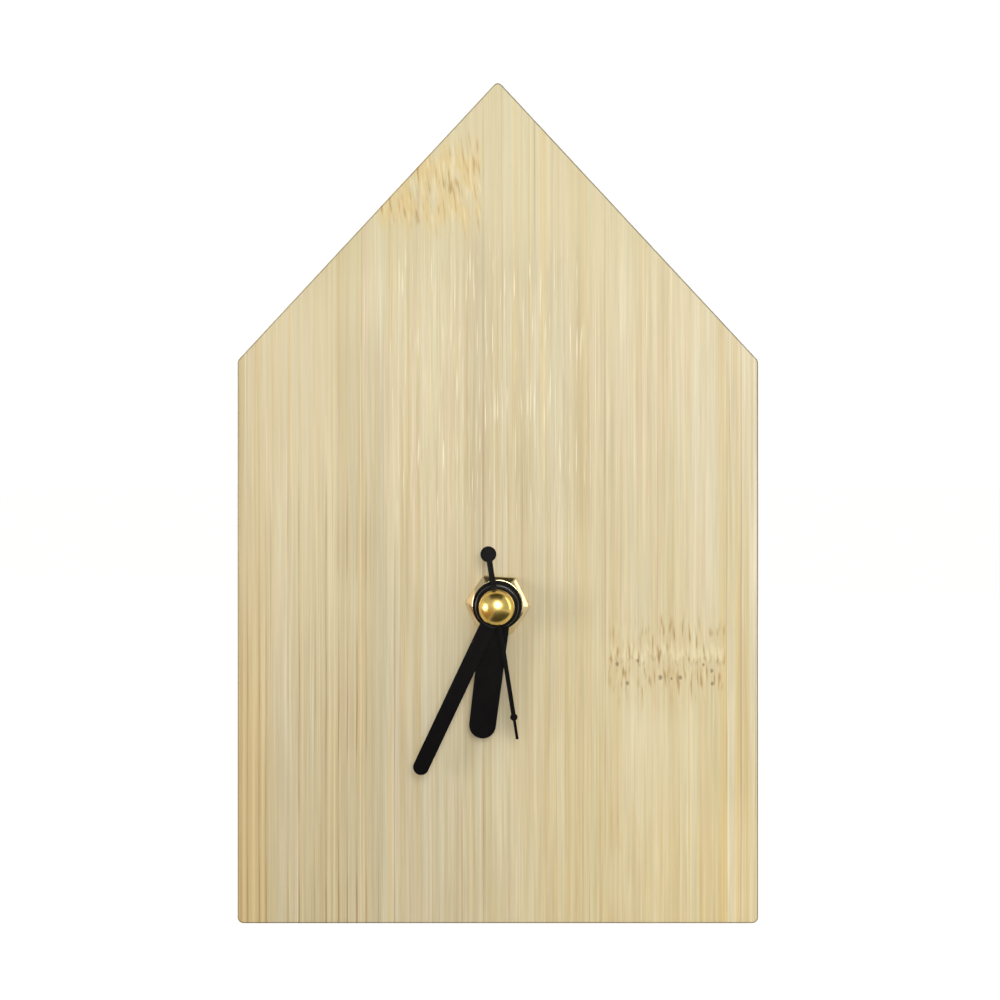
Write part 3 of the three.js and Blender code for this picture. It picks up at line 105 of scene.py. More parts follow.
class Finish:
    """A material on the Principled shader, with short ways to add nodes to it."""

    def __init__(self, name, colour, roughness, metallic=0, **constants):
        self.material = bpy.data.materials.new(name)
        self.material.use_nodes = True
        self.tree = self.material.node_tree
        self.shader = self.tree.nodes["Principled BSDF"]
        self.feed(self.shader.inputs["Base Color"], (*colour, 1))
        self.feed(self.shader.inputs["Roughness"], roughness)
        self.feed(self.shader.inputs["Metallic"], metallic)
        for socket, value in constants.items():
            self.feed(self.shader.inputs[socket.replace("_", " ").title()], value)
        self.place = self.node(
            "Mapping",
            {"Vector": self.node("TexCoord", output="Object"), "Scale": (1 / MM, 1 / MM, 1 / MM)},
        )

    def feed(self, socket, value):
        if isinstance(value, Socket):
            self.tree.links.new(value.socket, socket)
        else:
            socket.default_value = value

    def node(self, kind, inputs=None, output=0, stops=None, **settings):
        made = self.tree.nodes.new("ShaderNode" + kind)
        for setting, value in settings.items():
            setattr(made, setting, value)
        if stops:
            ramp = made.color_ramp
            ramp.elements[0].position, ramp.elements[0].color = stops[0]
            ramp.elements[1].position, ramp.elements[1].color = stops[-1]
            for position, colour in stops[1:-1]:
                ramp.elements.new(position).color = colour
        for socket, value in (inputs or {}).items():
            self.feed(made.inputs[socket], value)
        return Socket(self, made.outputs[output])

    def surface(self, socket, value):
        self.feed(self.shader.inputs[socket], value)

    def axes(self):
        """x, y and z in millimetres."""
        return [self.node("SeparateXYZ", {"Vector": self.place}, output=i) for i in range(3)]

    def vector(self, x, y, z):
        return self.node("CombineXYZ", {"X": x, "Y": y, "Z": z})

    def length(self, vector):
        return self.node("VectorMath", {0: vector}, output="Value", operation="LENGTH")

    def noise(self, vector=None, scale=1, detail=2, rough=0.5):
        inputs = {"Vector": vector or self.place, "Scale": scale}
        inputs.update({"Detail": detail, "Roughness": rough})
        return self.node("TexNoise", inputs)

    def random(self, number):
        return self.node("TexWhiteNoise", {"W": number}, noise_dimensions="1D")

    def ease(self, value, start, end, low=0, high=1):
        """low where value is at start, high where it is at end, and a smooth step between."""
        inputs = {"Value": value, "From Min": start, "From Max": end, "To Min": low, "To Max": high}
        return self.node("MapRange", inputs, interpolation_type="SMOOTHSTEP")

    def mix(self, share, first, second, blend_type="MIX"):
        colours = [c if isinstance(c, Socket) else (*c, 1) for c in (first, second)]
        inputs = {0: share, 6: colours[0], 7: colours[1]}
        return self.node("Mix", inputs, output=2, data_type="RGBA", blend_type=blend_type)

    def bump(self, height, depth):
        """A height of 0 to 1 as relief that is so many millimetres deep."""
        relief = self.node("Bump", {"Strength": 1, "Distance": depth * MM, "Height": height})
        self.surface("Normal", relief)


# Bamboo

STRIP_WIDTH = 21.75
FIRST_STRIP = -46.1
DARK_FIBRE = (0.50, 0.375, 0.17)
STRAW = (0.605, 0.522, 0.328)
CREAM = (0.70, 0.65, 0.505)
ROSY = (0.62, 0.475, 0.315)
GREENISH = (0.56, 0.52, 0.33)
GOLD_FIBRE = (0.575, 0.415, 0.165)
BROWN = (0.36, 0.225, 0.085)


def bamboo(name, upright, end_grain=False, shade=1.0):
    """Lacquered bamboo, pressed from strips side by side. Its fibres run up the board or, where
    upright is false, along the foot. A shade below 1 darkens it."""
    finish = Finish(name, STRAW, 0.42, coat_weight=0.1, coat_roughness=0.3)
    x, y, z = finish.axes()
    across, along, through = (x, z, y) if upright else (y, x, z)
    strip = ((across - FIRST_STRIP) / STRIP_WIDTH).floor()
    if end_grain:
        colour, relief = end_fibres(finish, across, through, strip)
    else:
        colour, relief = long_fibres(finish, across, along, through, strip, upright)
        if upright:
            colour = board_marks(finish, colour, across, along, through)
    # A shade below 1 paints shade, as on the front board's rim.
    if shade != 1.0:
        colour = finish.mix(1.0, colour, (shade, shade * 0.985, shade * 0.94), "MULTIPLY")
    finish.surface("Base Color", colour)
    finish.surface("Roughness", 0.5 - 0.14 * relief)
    finish.bump(relief, 0.025)
    return finish.material


def long_fibres(finish, across, along, through, strip, along_board):
    """Fibres seen from the side: short fine streaks, longer threads and bands that differ in tone
    and tint, and thin gold, brown and cream lines."""
    wander = (finish.noise(finish.vector(strip * 9, 0, along), 1 / 45, 2) - 0.5) * 0.45
    lane = across + 0.8 * (through + 4) + 31.7 * strip + wander

    def streaks(width, length, seed=0, detail=2, rough=0.5):
        place = finish.vector(lane / width, through / 5 + seed, along / length)
        return finish.noise(place, 1, detail, rough) - 0.5

    fine = streaks(0.36, 26, 0, 3, 0.6)
    thread = streaks(1.0, 75, 11)
    band = streaks(2.9, 130, 23)
    broad = streaks(9.0, 120, 37, 1)
    flecks = streaks(0.5, 9, 43, 2)
    hair = streaks(0.19, 34, 5, 1)
    calm = 1
    if along_board:
        calm = finish.ease(along, 108, 124, 1, 0.4)
        calm = calm * (1 - 0.4 * finish.ease(across, -22, -27) * finish.ease(along, 75, 95))
    lively = (0.75 + finish.random(strip + 9) * 0.5) * calm
    if along_board:
        lively = lively * finish.ease(across, -14, 14, 0.8, 1.1)
    tone = 0.5 + (thread * 0.95 + band * 0.72) * lively + broad * 0.5
    tints = [(0.0, (*DARK_FIBRE, 1)), (0.5, (*STRAW, 1)), (1.0, (*CREAM, 1))]
    colour = finish.node("ValToRGB", {"Fac": tone}, stops=tints)
    fibres = 1 + (fine * 0.45 + flecks * 0.18 + hair * 0.3) * calm
    colour = finish.mix(1.0, colour, fibres, "MULTIPLY")

    hue = streaks(0.9, 35, 51) * 2.2 + streaks(2.4, 60, 67) * 1.2
    colour = finish.mix(finish.ease(hue, 0.0, 0.55) * 0.4, colour, ROSY)
    colour = finish.mix(finish.ease(hue, 0.0, -0.55) * 0.4, colour, GREENISH)

    gold = finish.ease(streaks(0.7, 150, 71, 1), 0.15, 0.25)
    colour = finish.mix(gold * 0.55, colour, GOLD_FIBRE)
    brown = finish.ease(streaks(0.5, 95, 83, 1), 0.18, 0.27)
    colour = finish.mix(brown * 0.5, colour, BROWN)
    pale = finish.ease(streaks(0.5, 60, 97, 1), 0.18, 0.28)
    colour = finish.mix(pale * 0.5, colour, (0.80, 0.735, 0.53))

    seam = ((across - FIRST_STRIP) / STRIP_WIDTH).fraction()
    seam_line = finish.ease(abs(seam - 0.5), 0.489, 0.499)
    worn = finish.noise(finish.vector(strip * 5, 2, along), 1 / 25, 2)
    colour = finish.mix(seam_line * finish.ease(worn, 0.35, 0.6) * 0.4, colour, BROWN)
    shade = finish.random(strip + 3)
    colour = finish.mix(shade * 0.12, colour, DARK_FIBRE)
    relief = 0.5 + fine * 0.6 + hair * 0.4 + thread * 0.4 - seam_line * 0.4
    return colour, relief


def end_fibres(finish, across, through, strip):
    """Cut ends of the fibres: brown specks, close together towards one face of each strip."""
    place = finish.vector(across / 0.5, through / 0.5, strip * 7)
    specks = finish.node("TexVoronoi", {"Vector": place, "Scale": 1, "Randomness": 0.9})
    crowd = finish.noise(finish.vector(across / 3, through / 2.2, strip * 3), 1, 2)
    dots = finish.ease(specks, 0.42, 0.18) * finish.ease(crowd, 0.3, 0.65)
    seam = ((across - FIRST_STRIP) / STRIP_WIDTH).fraction()
    seam_line = finish.ease(abs(seam - 0.5), 0.488, 0.499)
    colour = finish.mix(finish.noise(place, 0.25, 2), (0.50, 0.39, 0.21), (0.60, 0.50, 0.30))
    colour = finish.mix(dots * 0.65, colour, (0.25, 0.145, 0.06))
    colour = finish.mix(seam_line * 0.5, colour, BROWN)
    return colour, 1 - dots * 0.6


# The front board's own marks and some painted light and shade. A line is its place across,
# half its width and its strength.

EDGE_BROWN_LINES = ((-45.9, 0.4, 0.55), (-44.7, 0.21, 1), (-42.6, 0.22, 1), (-41.4, 0.24, 0.9))
EDGE_YELLOW_LINES = ((-43.6, 0.4, 0.5), (-42.0, 0.28, 0.5), (-45.3, 0.28, 0.5))
LEFT_BROWN_LINES = (
    (-37.5, 0.2, 0.5), (-35.5, 0.18, 1), (-32.7, 0.22, 0.5), (-30.7, 0.2, 0.95),
    (-28.45, 0.17, 1), (-26.9, 0.2, 0.8), (-25.2, 0.2, 1), (-23.5, 0.2, 0.6),
)
LEFT_PALE_LINES = ((-30.1, 0.28, 0.5), (-29.2, 0.3, 0.5), (-24.5, 0.25, 0.5), (-34.9, 0.25, 0.3))
UPPER_LEFT_LINES = ((-45.7, 0.45, 0.45), (-40.2, 0.3, 0.5), (-27.2, 0.3, 0.35), (-21.8, 0.3, 0.4))
UPPER_MIDDLE_LINES = ((3.1, 0.35, 0.45), (8.1, 0.8, 0.45), (13.0, 0.3, 0.3), (15.3, 0.3, 0.4))
LOWER_MIDDLE_LINES = ((-2.5, 0.5, 0.4), (1.9, 0.3, 0.4))
RIGHT_GOLD_LINES = ((40.3, 0.8, 0.55), (42.7, 0.45, 0.5), (44.5, 0.4, 0.5))
LOWER_RIGHT_LINES = (
    (18.3, 0.3, 0.4), (20.3, 0.4, 0.6), (21.4, 0.25, 0.5), (24.4, 0.25, 0.6),
    (26.3, 0.2, 0.5), (33.6, 0.25, 0.5), (36.2, 0.2, 0.4), (43.3, 0.2, 0.5),
)

# A zone is its centre across, half its width, its bottom and top, and its tint.
ZONES = (
    (4.5, 11, 72, 122, (0.92, 0.915, 0.885)),
    (-25, 4.5, 62, 108, (0.915, 0.905, 0.885)),
    (-42, 5, -10, 33, (0.93, 0.92, 0.87)),
    (-21, 1.2, -10, 110, (0.90, 0.89, 0.85)),
    (-3.3, 1.2, 62, 125, (0.90, 0.89, 0.87)),
    (-15, 2.2, 33, 50, (1.07, 1.08, 1.10)),
    (-45.6, 1.2, -10, 160, (0.91, 0.89, 0.87)),
    (20, 5, 62, 110, (0.96, 0.96, 0.945)),
)

# A node of the cane is its left and right end, height, spread up and down, strength, tint, how
# deep that tint is, how the fibres lean, and how clear the ragged row of their tips is.
GOLDEN = (0.62, 0.43, 0.13)
DULL_GOLD = (0.58, 0.44, 0.23)
FRONT_NODES = (
    (-21.5, -2.8, 132, 11.0, 1, GOLDEN, 0.55, 0.1, 0.1),
    (19.6, 40.8, 47.4, 9.5, 0.95, DULL_GOLD, 0.35, 0.02, 0.45),
)
BACK_NODES = (
    (-24.2, -2.8, 24, 8, 1, GOLDEN, 0.5, 0.06, 0.4),
    (19.6, 41.0, 96, 8, 1, DULL_GOLD, 0.5, -0.04, 0.4),
)

# A pit is its place across the board, its height and its radius.
NODE_PITS = (
    (21.3, 46.3, 0.42), (23.1, 42.9, 0.42), (25.0, 46.9, 0.36), (29.0, 43.9, 0.48),
    (31.0, 43.7, 0.3), (32.6, 43.9, 0.4), (36.7, 46.2, 0.3), (38.2, 45.1, 0.38),
    (38.3, 42.8, 0.38),
)


def board_marks(finish, colour, across, along, through):
    """What this board's own strips show, laid over their fibres, and some painted light and shade:
    soft zones, lines, streaks, and four nodes of the cane, two of them at the back."""
    front = finish.ease(through, 3, -3)
    colour = tint_zones(finish, colour, across, along)
    colour = draw_lines(finish, colour, across, along)
    colour = middle_streaks(finish, colour, across, along)
    for node in FRONT_NODES:
        colour = cane_node(finish, colour, across, along, front, node)
    for node in BACK_NODES:
        colour = cane_node(finish, colour, across, along, 1 - front, node)
    return node_pits(finish, colour, across, along, front)


def lower_part(finish, along):
    return finish.ease(along, 90, 20)


def tint_zones(finish, colour, across, along):
    """Painted light at the lower right, painted shade at the lower left, and broad and narrow
    upright zones with soft edges, lighter or darker than the rest.
    """

    def tint(where, shade):
        return finish.mix(where, colour, shade, "MULTIPLY")

    low = lower_part(finish, along)
    # Painted light and shade: the lower board lighter towards the right, darker towards the left.
    colour = tint(finish.ease(across, -2.9, 19.6) * low, (1.05, 1.04, 0.975))
    colour = tint(finish.ease(across, 8, -12) * low, (0.93, 0.935, 0.965))
    colour = tint(finish.ease(along, 100, 130), (0.945, 0.95, 0.885))
    upper_left = finish.ease(along, 108, 122) * finish.ease(across, 2, -14)
    colour = tint(upper_left, (0.96, 0.96, 0.945))
    for centre, half, bottom, top, shade in ZONES:
        beside = finish.ease(abs(across - centre), half + 1, half - 1)
        above = finish.ease(along, bottom - 8, bottom + 8)
        below = finish.ease(along, top + 8, top - 8)
        colour = tint(beside * (above * below), shade)
    return colour


def draw_lines(finish, colour, across, along):
    """Thin lines along the fibres, the gold glow of the left edge and the patches at the lower
    right."""
    low = lower_part(finish, along)
    high = finish.ease(along, 70, 100)
    top = finish.ease(along, 95, 118)
    wave = (finish.noise(finish.vector(0, 3, along), 1 / 30, 2) - 0.5) * 0.45
    fade = finish.noise(finish.vector(across / 1.5, 8, along), 1 / 22, 2)
    uneven = finish.ease(fade, 0.3, 0.6)

    def lines(places, where, tint):
        drawn = colour
        for centre, half, strength in places:
            near = finish.ease(abs(across + wave - centre), half, half * 0.3)
            drawn = finish.mix(near * (where * strength), drawn, tint)
        return drawn

    edge_glow = finish.ease(across, -36.5, -46.5) * low
    colour = finish.mix(edge_glow * 0.55, colour, (0.60, 0.44, 0.20))
    colour = lines(EDGE_BROWN_LINES, low * (0.4 + 0.6 * uneven), (0.40, 0.245, 0.085))
    colour = lines(EDGE_YELLOW_LINES, low, (0.70, 0.555, 0.27))
    for i, place in enumerate(LEFT_BROWN_LINES):
        end = 100 - i * 13 % 30
        visible = (0.25 + 0.75 * uneven) * (1 - 0.85 * finish.ease(along, end - 35, end))
        colour = lines([place], visible, (0.36, 0.235, 0.085))
    colour = lines(LEFT_PALE_LINES, 1 - 0.5 * high, (0.70, 0.60, 0.36))
    colour = lines(UPPER_LEFT_LINES, high * (1 - 0.7 * top), (0.55, 0.405, 0.175))
    colour = lines([(-19.3, 0.7, 0.4)], finish.ease(along, 60, 15), (0.66, 0.51, 0.22))
    colour = lines(UPPER_MIDDLE_LINES, high, (0.62, 0.45, 0.17))
    colour = lines(LOWER_MIDDLE_LINES, (1 - high) * uneven, (0.42, 0.27, 0.12))
    colour = lines(RIGHT_GOLD_LINES, 0.35 + 0.65 * low, (0.64, 0.46, 0.17))
    colour = lower_right_patches(finish, colour, across, along)
    colour = lines(LOWER_RIGHT_LINES, finish.ease(along, 42, 24) * uneven, (0.50, 0.345, 0.135))
    below_node = finish.ease(along, 52, 44) * (0.3 + 0.7 * uneven)
    return lines([(39.6, 0.42, 0.6)], below_node, (0.60, 0.435, 0.16))


def lower_right_patches(finish, colour, across, along):
    """A pale patch, painted light on the corner below it and gold clouds to the right of the seam.
    """
    pale = finish.ease(abs(across - 30), 9, 5)
    pale = pale * finish.ease(along, 40, 34) * finish.ease(along, 14, 26)
    colour = finish.mix(pale * 0.25, colour, (0.735, 0.655, 0.45))
    # Painted light: the bottom right corner is made lighter.
    corner = finish.ease(across, 22, 30) * finish.ease(along, 26, 14)
    colour = finish.mix(corner, colour, (1.07, 1.07, 1.09), "MULTIPLY")
    clouds = finish.noise(finish.vector(across / 2.6, 14, along / 13), 1, 2)
    gold = finish.ease(across, 19.3, 19.9) * finish.ease(across, 34, 22)
    gold = gold * finish.ease(along, 34, 16) * finish.ease(clouds, 0.4, 0.62)
    return finish.mix(gold * 0.3, colour, (0.585, 0.42, 0.19))


def middle_streaks(finish, colour, across, along):
    """Short pale and dark streaks in the board's upper middle."""
    streak = finish.noise(finish.vector(across / 0.34, 4, along / 11), 1, 1)
    middle = finish.ease(abs(across + 1), 21, 14) * finish.ease(abs(along - 97), 28, 20)
    pale = finish.ease(streak, 0.6, 0.75) * middle
    colour = finish.mix(pale * 0.6, colour, (0.87, 0.80, 0.60))
    dark = finish.ease(streak, 0.42, 0.28) * middle
    return finish.mix(dark * 0.35, colour, (0.45, 0.35, 0.18))


def cane_node(finish, colour, across, along, side, node):
    """Where the cane had a node: fibres lean and end in a ragged row of dark tips with pale ones
    above, and brown strokes stand above and below it. side is 1 on the face that shows it."""
    left, right, height, spread, strength, tint, depth, slant, comb = node
    within = finish.ease(across, left, left + 0.4) * finish.ease(across, right, right - 0.4)
    within = within * (side * strength)
    ragged = finish.noise(finish.vector(across / 1.1, 5, height), 1, 3, 0.6)
    level = along - height - (ragged - 0.5) * 9
    near = finish.ease(abs(level), spread, spread * 0.3) * within
    lean = across + slant * (along - height)
    strokes = finish.noise(finish.vector(lean / 0.55, 2, along / 4.6), 1, 1)
    blotches = finish.noise(finish.vector(lean / 2.0, 6, along / 7), 1, 2)
    colour = finish.mix(near * finish.ease(blotches, 0.3, 0.58) * depth, colour, tint)
    light = finish.ease(strokes, 0.45, 0.3) * near
    colour = finish.mix(light * 0.4, colour, (0.74, 0.645, 0.39))
    dark = finish.ease(strokes, 0.54, 0.68) * near
    colour = finish.mix(dark * 0.7, colour, (0.43, 0.265, 0.075))
    core = finish.ease(strokes, 0.62, 0.74) * near
    colour = finish.mix(core * 0.5, colour, (0.26, 0.16, 0.055))
    tips = finish.ease(level, -0.9, -0.1) * finish.ease(level, 0.25, 0.0) * within
    tips = tips * finish.ease(strokes, 0.42, 0.56)
    colour = finish.mix(tips * comb, colour, (0.33, 0.22, 0.085))
    crown = finish.ease(level, 0.1, 0.5) * finish.ease(level, 3.2, 0.8) * within
    crown = crown * finish.ease(strokes, 0.52, 0.4)
    return finish.mix(crown * comb, colour, (0.76, 0.68, 0.44))


def node_pits(finish, colour, across, along, front):
    """Small dark pits with rough edges, taller than wide, in the lower right node."""
    rough = finish.noise(finish.vector(across, 0, along), 1.9, 2) - 0.5
    for x, z, radius in NODE_PITS:
        place = finish.vector(across - x + rough * 0.35, 0, (along - z) * 0.75)
        distance = finish.length(place)
        pit = finish.ease(distance, radius, radius * 0.35) * front
        colour = finish.mix(pit * 0.8, colour, (0.22, 0.16, 0.075))
    return colour


# Metals, plastics and paint

def brass(name, colour, roughness, brushed=0.0):
    finish = Finish(name, colour, roughness, 1)
    cloud = finish.noise(scale=0.9, detail=3)
    finish.surface("Roughness", roughness + (cloud - 0.5) * 0.08)
    if brushed:
        finish.bump(finish.noise(scale=2.2, detail=4, rough=0.65), brushed)
    return finish.material


def black_paint():
    """Satin black, glossier on the lip of the minute hand's hub."""
    lip_radius, lip_depth = 3.74, 9.65
    finish = Finish("satin_black_paint", (0.0022, 0.0018, 0.0022), 0.32)
    finish.surface("Specular IOR Level", 0.12)
    finish.surface("Coat Roughness", 0.12)
    x, y, z = finish.axes()
    from_axis = finish.length(finish.vector(x, 0, z - HANDS_HEIGHT))
    lip = finish.ease(abs(from_axis - lip_radius), 0.15, 0.1)
    lip = lip * finish.ease(abs(y + lip_depth), 0.25, 0.2)
    finish.surface("Coat Weight", lip * 0.7)
    cloud = finish.noise(scale=0.35, detail=3)
    finish.surface("Roughness", 0.17 + cloud * 0.1)
    finish.bump(finish.noise(scale=6, detail=2), 0.006)
    return finish.material


def moulded(name, colour, roughness, grain=0.012):
    """Moulded plastic with a fine spark texture."""
    finish = Finish(name, colour, roughness)
    cloud = finish.noise(scale=0.12, detail=2)
    darker = tuple(c * 0.86 for c in colour)
    finish.surface("Base Color", finish.mix(cloud, darker, colour))
    finish.surface("Roughness", roughness - 0.05 + cloud * 0.1)
    finish.bump(finish.noise(scale=5.5, detail=2), grain)
    return finish.material


def metal(name, colour, roughness):
    finish = Finish(name, colour, roughness, 1)
    scratches = finish.noise(scale=3, detail=3, rough=0.6)
    finish.surface("Roughness", roughness - 0.06 + scratches * 0.14)
    finish.bump(scratches, 0.004)
    return finish.material


def beech():
    finish = Finish("beech", (0.55, 0.37, 0.2), 0.6)
    x, y, z = finish.axes()
    fibres = finish.noise(finish.vector(x * 3, y / 5, z * 3), 1, 3)
    finish.surface("Base Color", finish.mix(fibres, (0.48, 0.30, 0.15), (0.62, 0.43, 0.25)))
    finish.bump(fibres, 0.02)
    return finish.material


def copper_wire():
    finish = Finish("enamelled_copper", (0.62, 0.24, 0.10), 0.3, 1)
    turns = finish.axes()[2] * 6.5
    groove = abs(turns.fraction() - 0.5) * 2
    layers = finish.noise(scale=1.3, detail=2)
    finish.surface("Base Color", finish.mix(layers, (0.50, 0.17, 0.06), (0.68, 0.28, 0.12)))
    finish.surface("Roughness", 0.38 - groove * 0.12)
    finish.bump(groove, 0.05)
    return finish.material


def laminate():
    """Paper laminate of the circuit board, with faint fibres."""
    finish = Finish("circuit_laminate", (0.34, 0.21, 0.07), 0.5)
    x, y, z = finish.axes()
    fibres = finish.noise(finish.vector(x * 2, y, z * 0.4), 1, 4)
    finish.surface("Base Color", finish.mix(fibres, (0.27, 0.155, 0.05), (0.40, 0.26, 0.09)))
    finish.surface("Roughness", 0.42 + fibres * 0.15)
    finish.bump(fibres, 0.01)
    return finish.material


def battery_film(nub_end):
    """Printed film of the cell: dark blue, with a gold stripe and a silver band at the nub end and
    a plus sign on the band."""
    sign_place, sign_reach, sign_stroke = 6.5, 1.85, 0.45
    stripe_place = 13.4
    finish = Finish(
        "battery_film", (0.02, 0.07, 0.22), 0.3, 0.35, coat_weight=0.5, coat_roughness=0.12
    )
    x, _, z = finish.axes()
    from_end = nub_end - x
    band = finish.ease(from_end, 12.2, 12.0)
    stripe = finish.ease(abs(from_end - stripe_place), 0.45, 0.4)
    colour = finish.mix(finish.noise(scale=0.2), (0.015, 0.05, 0.17), (0.02, 0.075, 0.24))
    colour = finish.mix(band, colour, (0.52, 0.53, 0.55))
    colour = finish.mix(stripe, colour, (0.60, 0.36, 0.08))
    along, beside = abs(from_end - sign_place), abs(z - CELL_HEIGHT)

    def bar(length, width):
        thin = finish.ease(width, sign_stroke, sign_stroke - 0.05)
        return thin * finish.ease(length, sign_reach, sign_reach - 0.05)

    arm, post = bar(along, beside), bar(beside, along)
    colour = finish.mix(arm.maths("MAXIMUM", arm, post), colour, (0.02, 0.02, 0.02))
    finish.surface("Base Color", colour)
    finish.surface("Metallic", 0.15 + band * 0.6)
    finish.bump(finish.noise(scale=1.5), 0.005)
    return finish.material


BOARD_FACE = bamboo("bamboo_board", upright=True)
# Painted shade: a darker bamboo for the front rim's round where it is turned from the lamps.
BOARD_RIM_PAINTED_SHADE = bamboo("bamboo_board_rim_painted_shade", upright=True, shade=0.46)
BOARD_END = bamboo("bamboo_board_end", upright=True, end_grain=True)
FOOT_FACE = bamboo("bamboo_foot", upright=False)
FOOT_END = bamboo("bamboo_foot_end", upright=False, end_grain=True)
BEECH = beech()
NUT_BRASS = brass("nut_brass", (0.88, 0.71, 0.40), 0.15, brushed=0.008)
CAP_GOLD = brass("cap_gold", (0.93, 0.68, 0.21), 0.23)
PIPE_BRASS = brass("pipe_brass", (0.80, 0.60, 0.26), 0.3)
BLACK_PAINT = black_paint()
BLACK_PLASTIC = moulded("black_plastic", (0.016, 0.016, 0.017), 0.42)
RUBBER = moulded("rubber", (0.014, 0.014, 0.014), 0.8)
WHITE_PLASTIC = moulded("white_plastic", (0.78, 0.76, 0.70), 0.4, 0.005)
GREEN_PLASTIC = moulded("green_plastic", (0.05, 0.24, 0.09), 0.4, 0.005)
STEEL = metal("steel", (0.55, 0.55, 0.56), 0.28)
SOFT_IRON = metal("soft_iron", (0.36, 0.37, 0.38), 0.42)
MAGNET = metal("magnet", (0.09, 0.09, 0.10), 0.45)
NICKEL = metal("nickel_plated", (0.66, 0.64, 0.60), 0.22)
COPPER = copper_wire()
LAMINATE = laminate()
CHIP_RESIN = moulded("chip_resin", (0.012, 0.012, 0.014), 0.3, 0.004)


# Modelling by hand

def deselect():
    bpy.ops.object.select_all(action="DESELECT")


def activate(piece):
    deselect()
    piece.select_set(True)
    bpy.context.view_layer.objects.active = piece


def settle(piece):
    """Puts the piece's place into its mesh, so that its object sits at the origin."""
    activate(piece)
    bpy.ops.object.transform_apply(location=True, rotation=True, scale=True)
    return piece


def block(name, low, high):
    deselect()
    middle = [(a + b) / 2 * MM for a, b in zip(low, high)]
    size = [(b - a) * MM for a, b in zip(low, high)]
    bpy.ops.mesh.primitive_cube_add(size=1, location=middle, scale=size)
    bpy.context.object.name = name
    return settle(bpy.context.object)


def rod(name, radius, front, back, x=0.0, z=0.0, sides=48, turn=0.0):
    deselect()
    bpy.ops.mesh.primitive_cylinder_add(
        vertices=sides, radius=radius * MM, depth=(back - front) * MM,
        location=(x * MM, (front + back) / 2 * MM, z * MM),
        rotation=(math.pi / 2, turn, 0),
    )
    bpy.context.object.name = name
    return settle(bpy.context.object)


def edit(piece, kind):
    activate(piece)
    bpy.ops.object.mode_set(mode="EDIT")
    bpy.ops.mesh.select_mode(type=kind)


def leave():
    bpy.ops.object.mode_set(mode="OBJECT")


def select_faces(test):
    """Selects the faces whose centre and normal pass the test. Centres are in millimetres."""
    bpy.ops.mesh.select_all(action="DESELECT")
    mesh = bpy.context.edit_object.data
    drawn = bmesh.from_edit_mesh(mesh)
    for face in drawn.faces:
        face.select_set(bool(test(face.calc_center_median() / MM, face.normal)))
    bmesh.update_edit_mesh(mesh)


def select_edges(test):
    """Selects the edges whose two ends, in millimetres, pass the test."""
    bpy.ops.mesh.select_all(action="DESELECT")
    mesh = bpy.context.edit_object.data
    drawn = bmesh.from_edit_mesh(mesh)
    for edge in drawn.edges:
        edge.select_set(bool(test(edge.verts[0].co / MM, edge.verts[1].co / MM)))
    bmesh.update_edit_mesh(mesh)


def round_edges(piece, radius, steps, test):
    edit(piece, "EDGE")
    select_edges(test)
    bpy.ops.mesh.bevel(offset=radius * MM, segments=steps, affect="EDGES")
    leave()


def turned(name, rings, x=0.0, z=0.0, sides=64, closed=False):
    """A turned piece about an axis along Y: a ring of edges, extruded and resized step by step
    along a list of (radius, y). A last radius of 0 closes it in a point."""
    deselect()
    radius, depth = rings[0]
    bpy.ops.mesh.primitive_circle_add(
        vertices=sides, radius=radius * MM, fill_type="NOTHING",
        location=(x * MM, depth * MM, z * MM), rotation=(math.pi / 2, 0, 0),
    )
    piece = bpy.context.object
    piece.name = name
    settle(piece)
    bpy.ops.object.mode_set(mode="EDIT")
    bpy.ops.mesh.select_mode(type="EDGE")
    bpy.ops.mesh.select_all(action="SELECT")
    for (r0, y0), (r1, y1) in zip(rings, rings[1:]):
        move = {"value": (0, (y1 - y0) * MM, 0)}
        bpy.ops.mesh.extrude_region_move(TRANSFORM_OT_translate=move)
        if r1 == 0:
            bpy.ops.mesh.merge(type="CENTER")
        elif r1 != r0:
            centre = (x * MM, y1 * MM, z * MM)
            bpy.ops.transform.resize(value=(r1 / r0, 1, r1 / r0), center_override=centre)
    bpy.ops.mesh.select_all(action="SELECT")
    if closed:
        bpy.ops.mesh.remove_doubles(threshold=1e-7)
    else:
        bpy.ops.mesh.fill_holes(sides=0)
    bpy.ops.mesh.select_all(action="SELECT")
    bpy.ops.mesh.normals_make_consistent(inside=False)
    leave()
    return piece


def combine(piece, operation, *tools):
    for tool in tools:
        activate(piece)
        cut = piece.modifiers.new("Cut", "BOOLEAN")
        cut.operation = operation
        cut.solver = "EXACT"
        cut.object = tool
        bpy.ops.object.modifier_apply(modifier=cut.name)
        bpy.data.objects.remove(tool)
    return piece


def cut_out(piece, *tools):
    return combine(piece, "DIFFERENCE", *tools)


def fuse(piece, *tools):
    return combine(piece, "UNION", *tools)


def soften(piece, width, angle):
    """Small rounds on every edge sharper than the angle."""
    activate(piece)
    bevel = piece.modifiers.new("Round", "BEVEL")
    bevel.width = width * MM
    bevel.segments = 2
    bevel.limit_method = "ANGLE"
    bevel.angle_limit = math.radians(angle)
    bevel.use_clamp_overlap = True
    bpy.ops.object.modifier_apply(modifier=bevel.name)
    return piece


def smooth(piece, angle=35):
    """Smooth shading up to the angle, with large faces kept flat beside small rounds."""
    activate(piece)
    bpy.ops.object.shade_smooth_by_angle(angle=math.radians(angle))
    even = piece.modifiers.new("Even", "WEIGHTED_NORMAL")
    even.keep_sharp = True
    bpy.ops.object.modifier_apply(modifier=even.name)
    return piece


def stand_in(piece, body, node, slot, *materials):
    """The piece rides on the body, takes the node's place and gets its materials."""
    piece.data.materials.clear()
    for material in materials:
        piece.data.materials.append(material)
    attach(piece, body)
    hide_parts(node)


# Board and foot

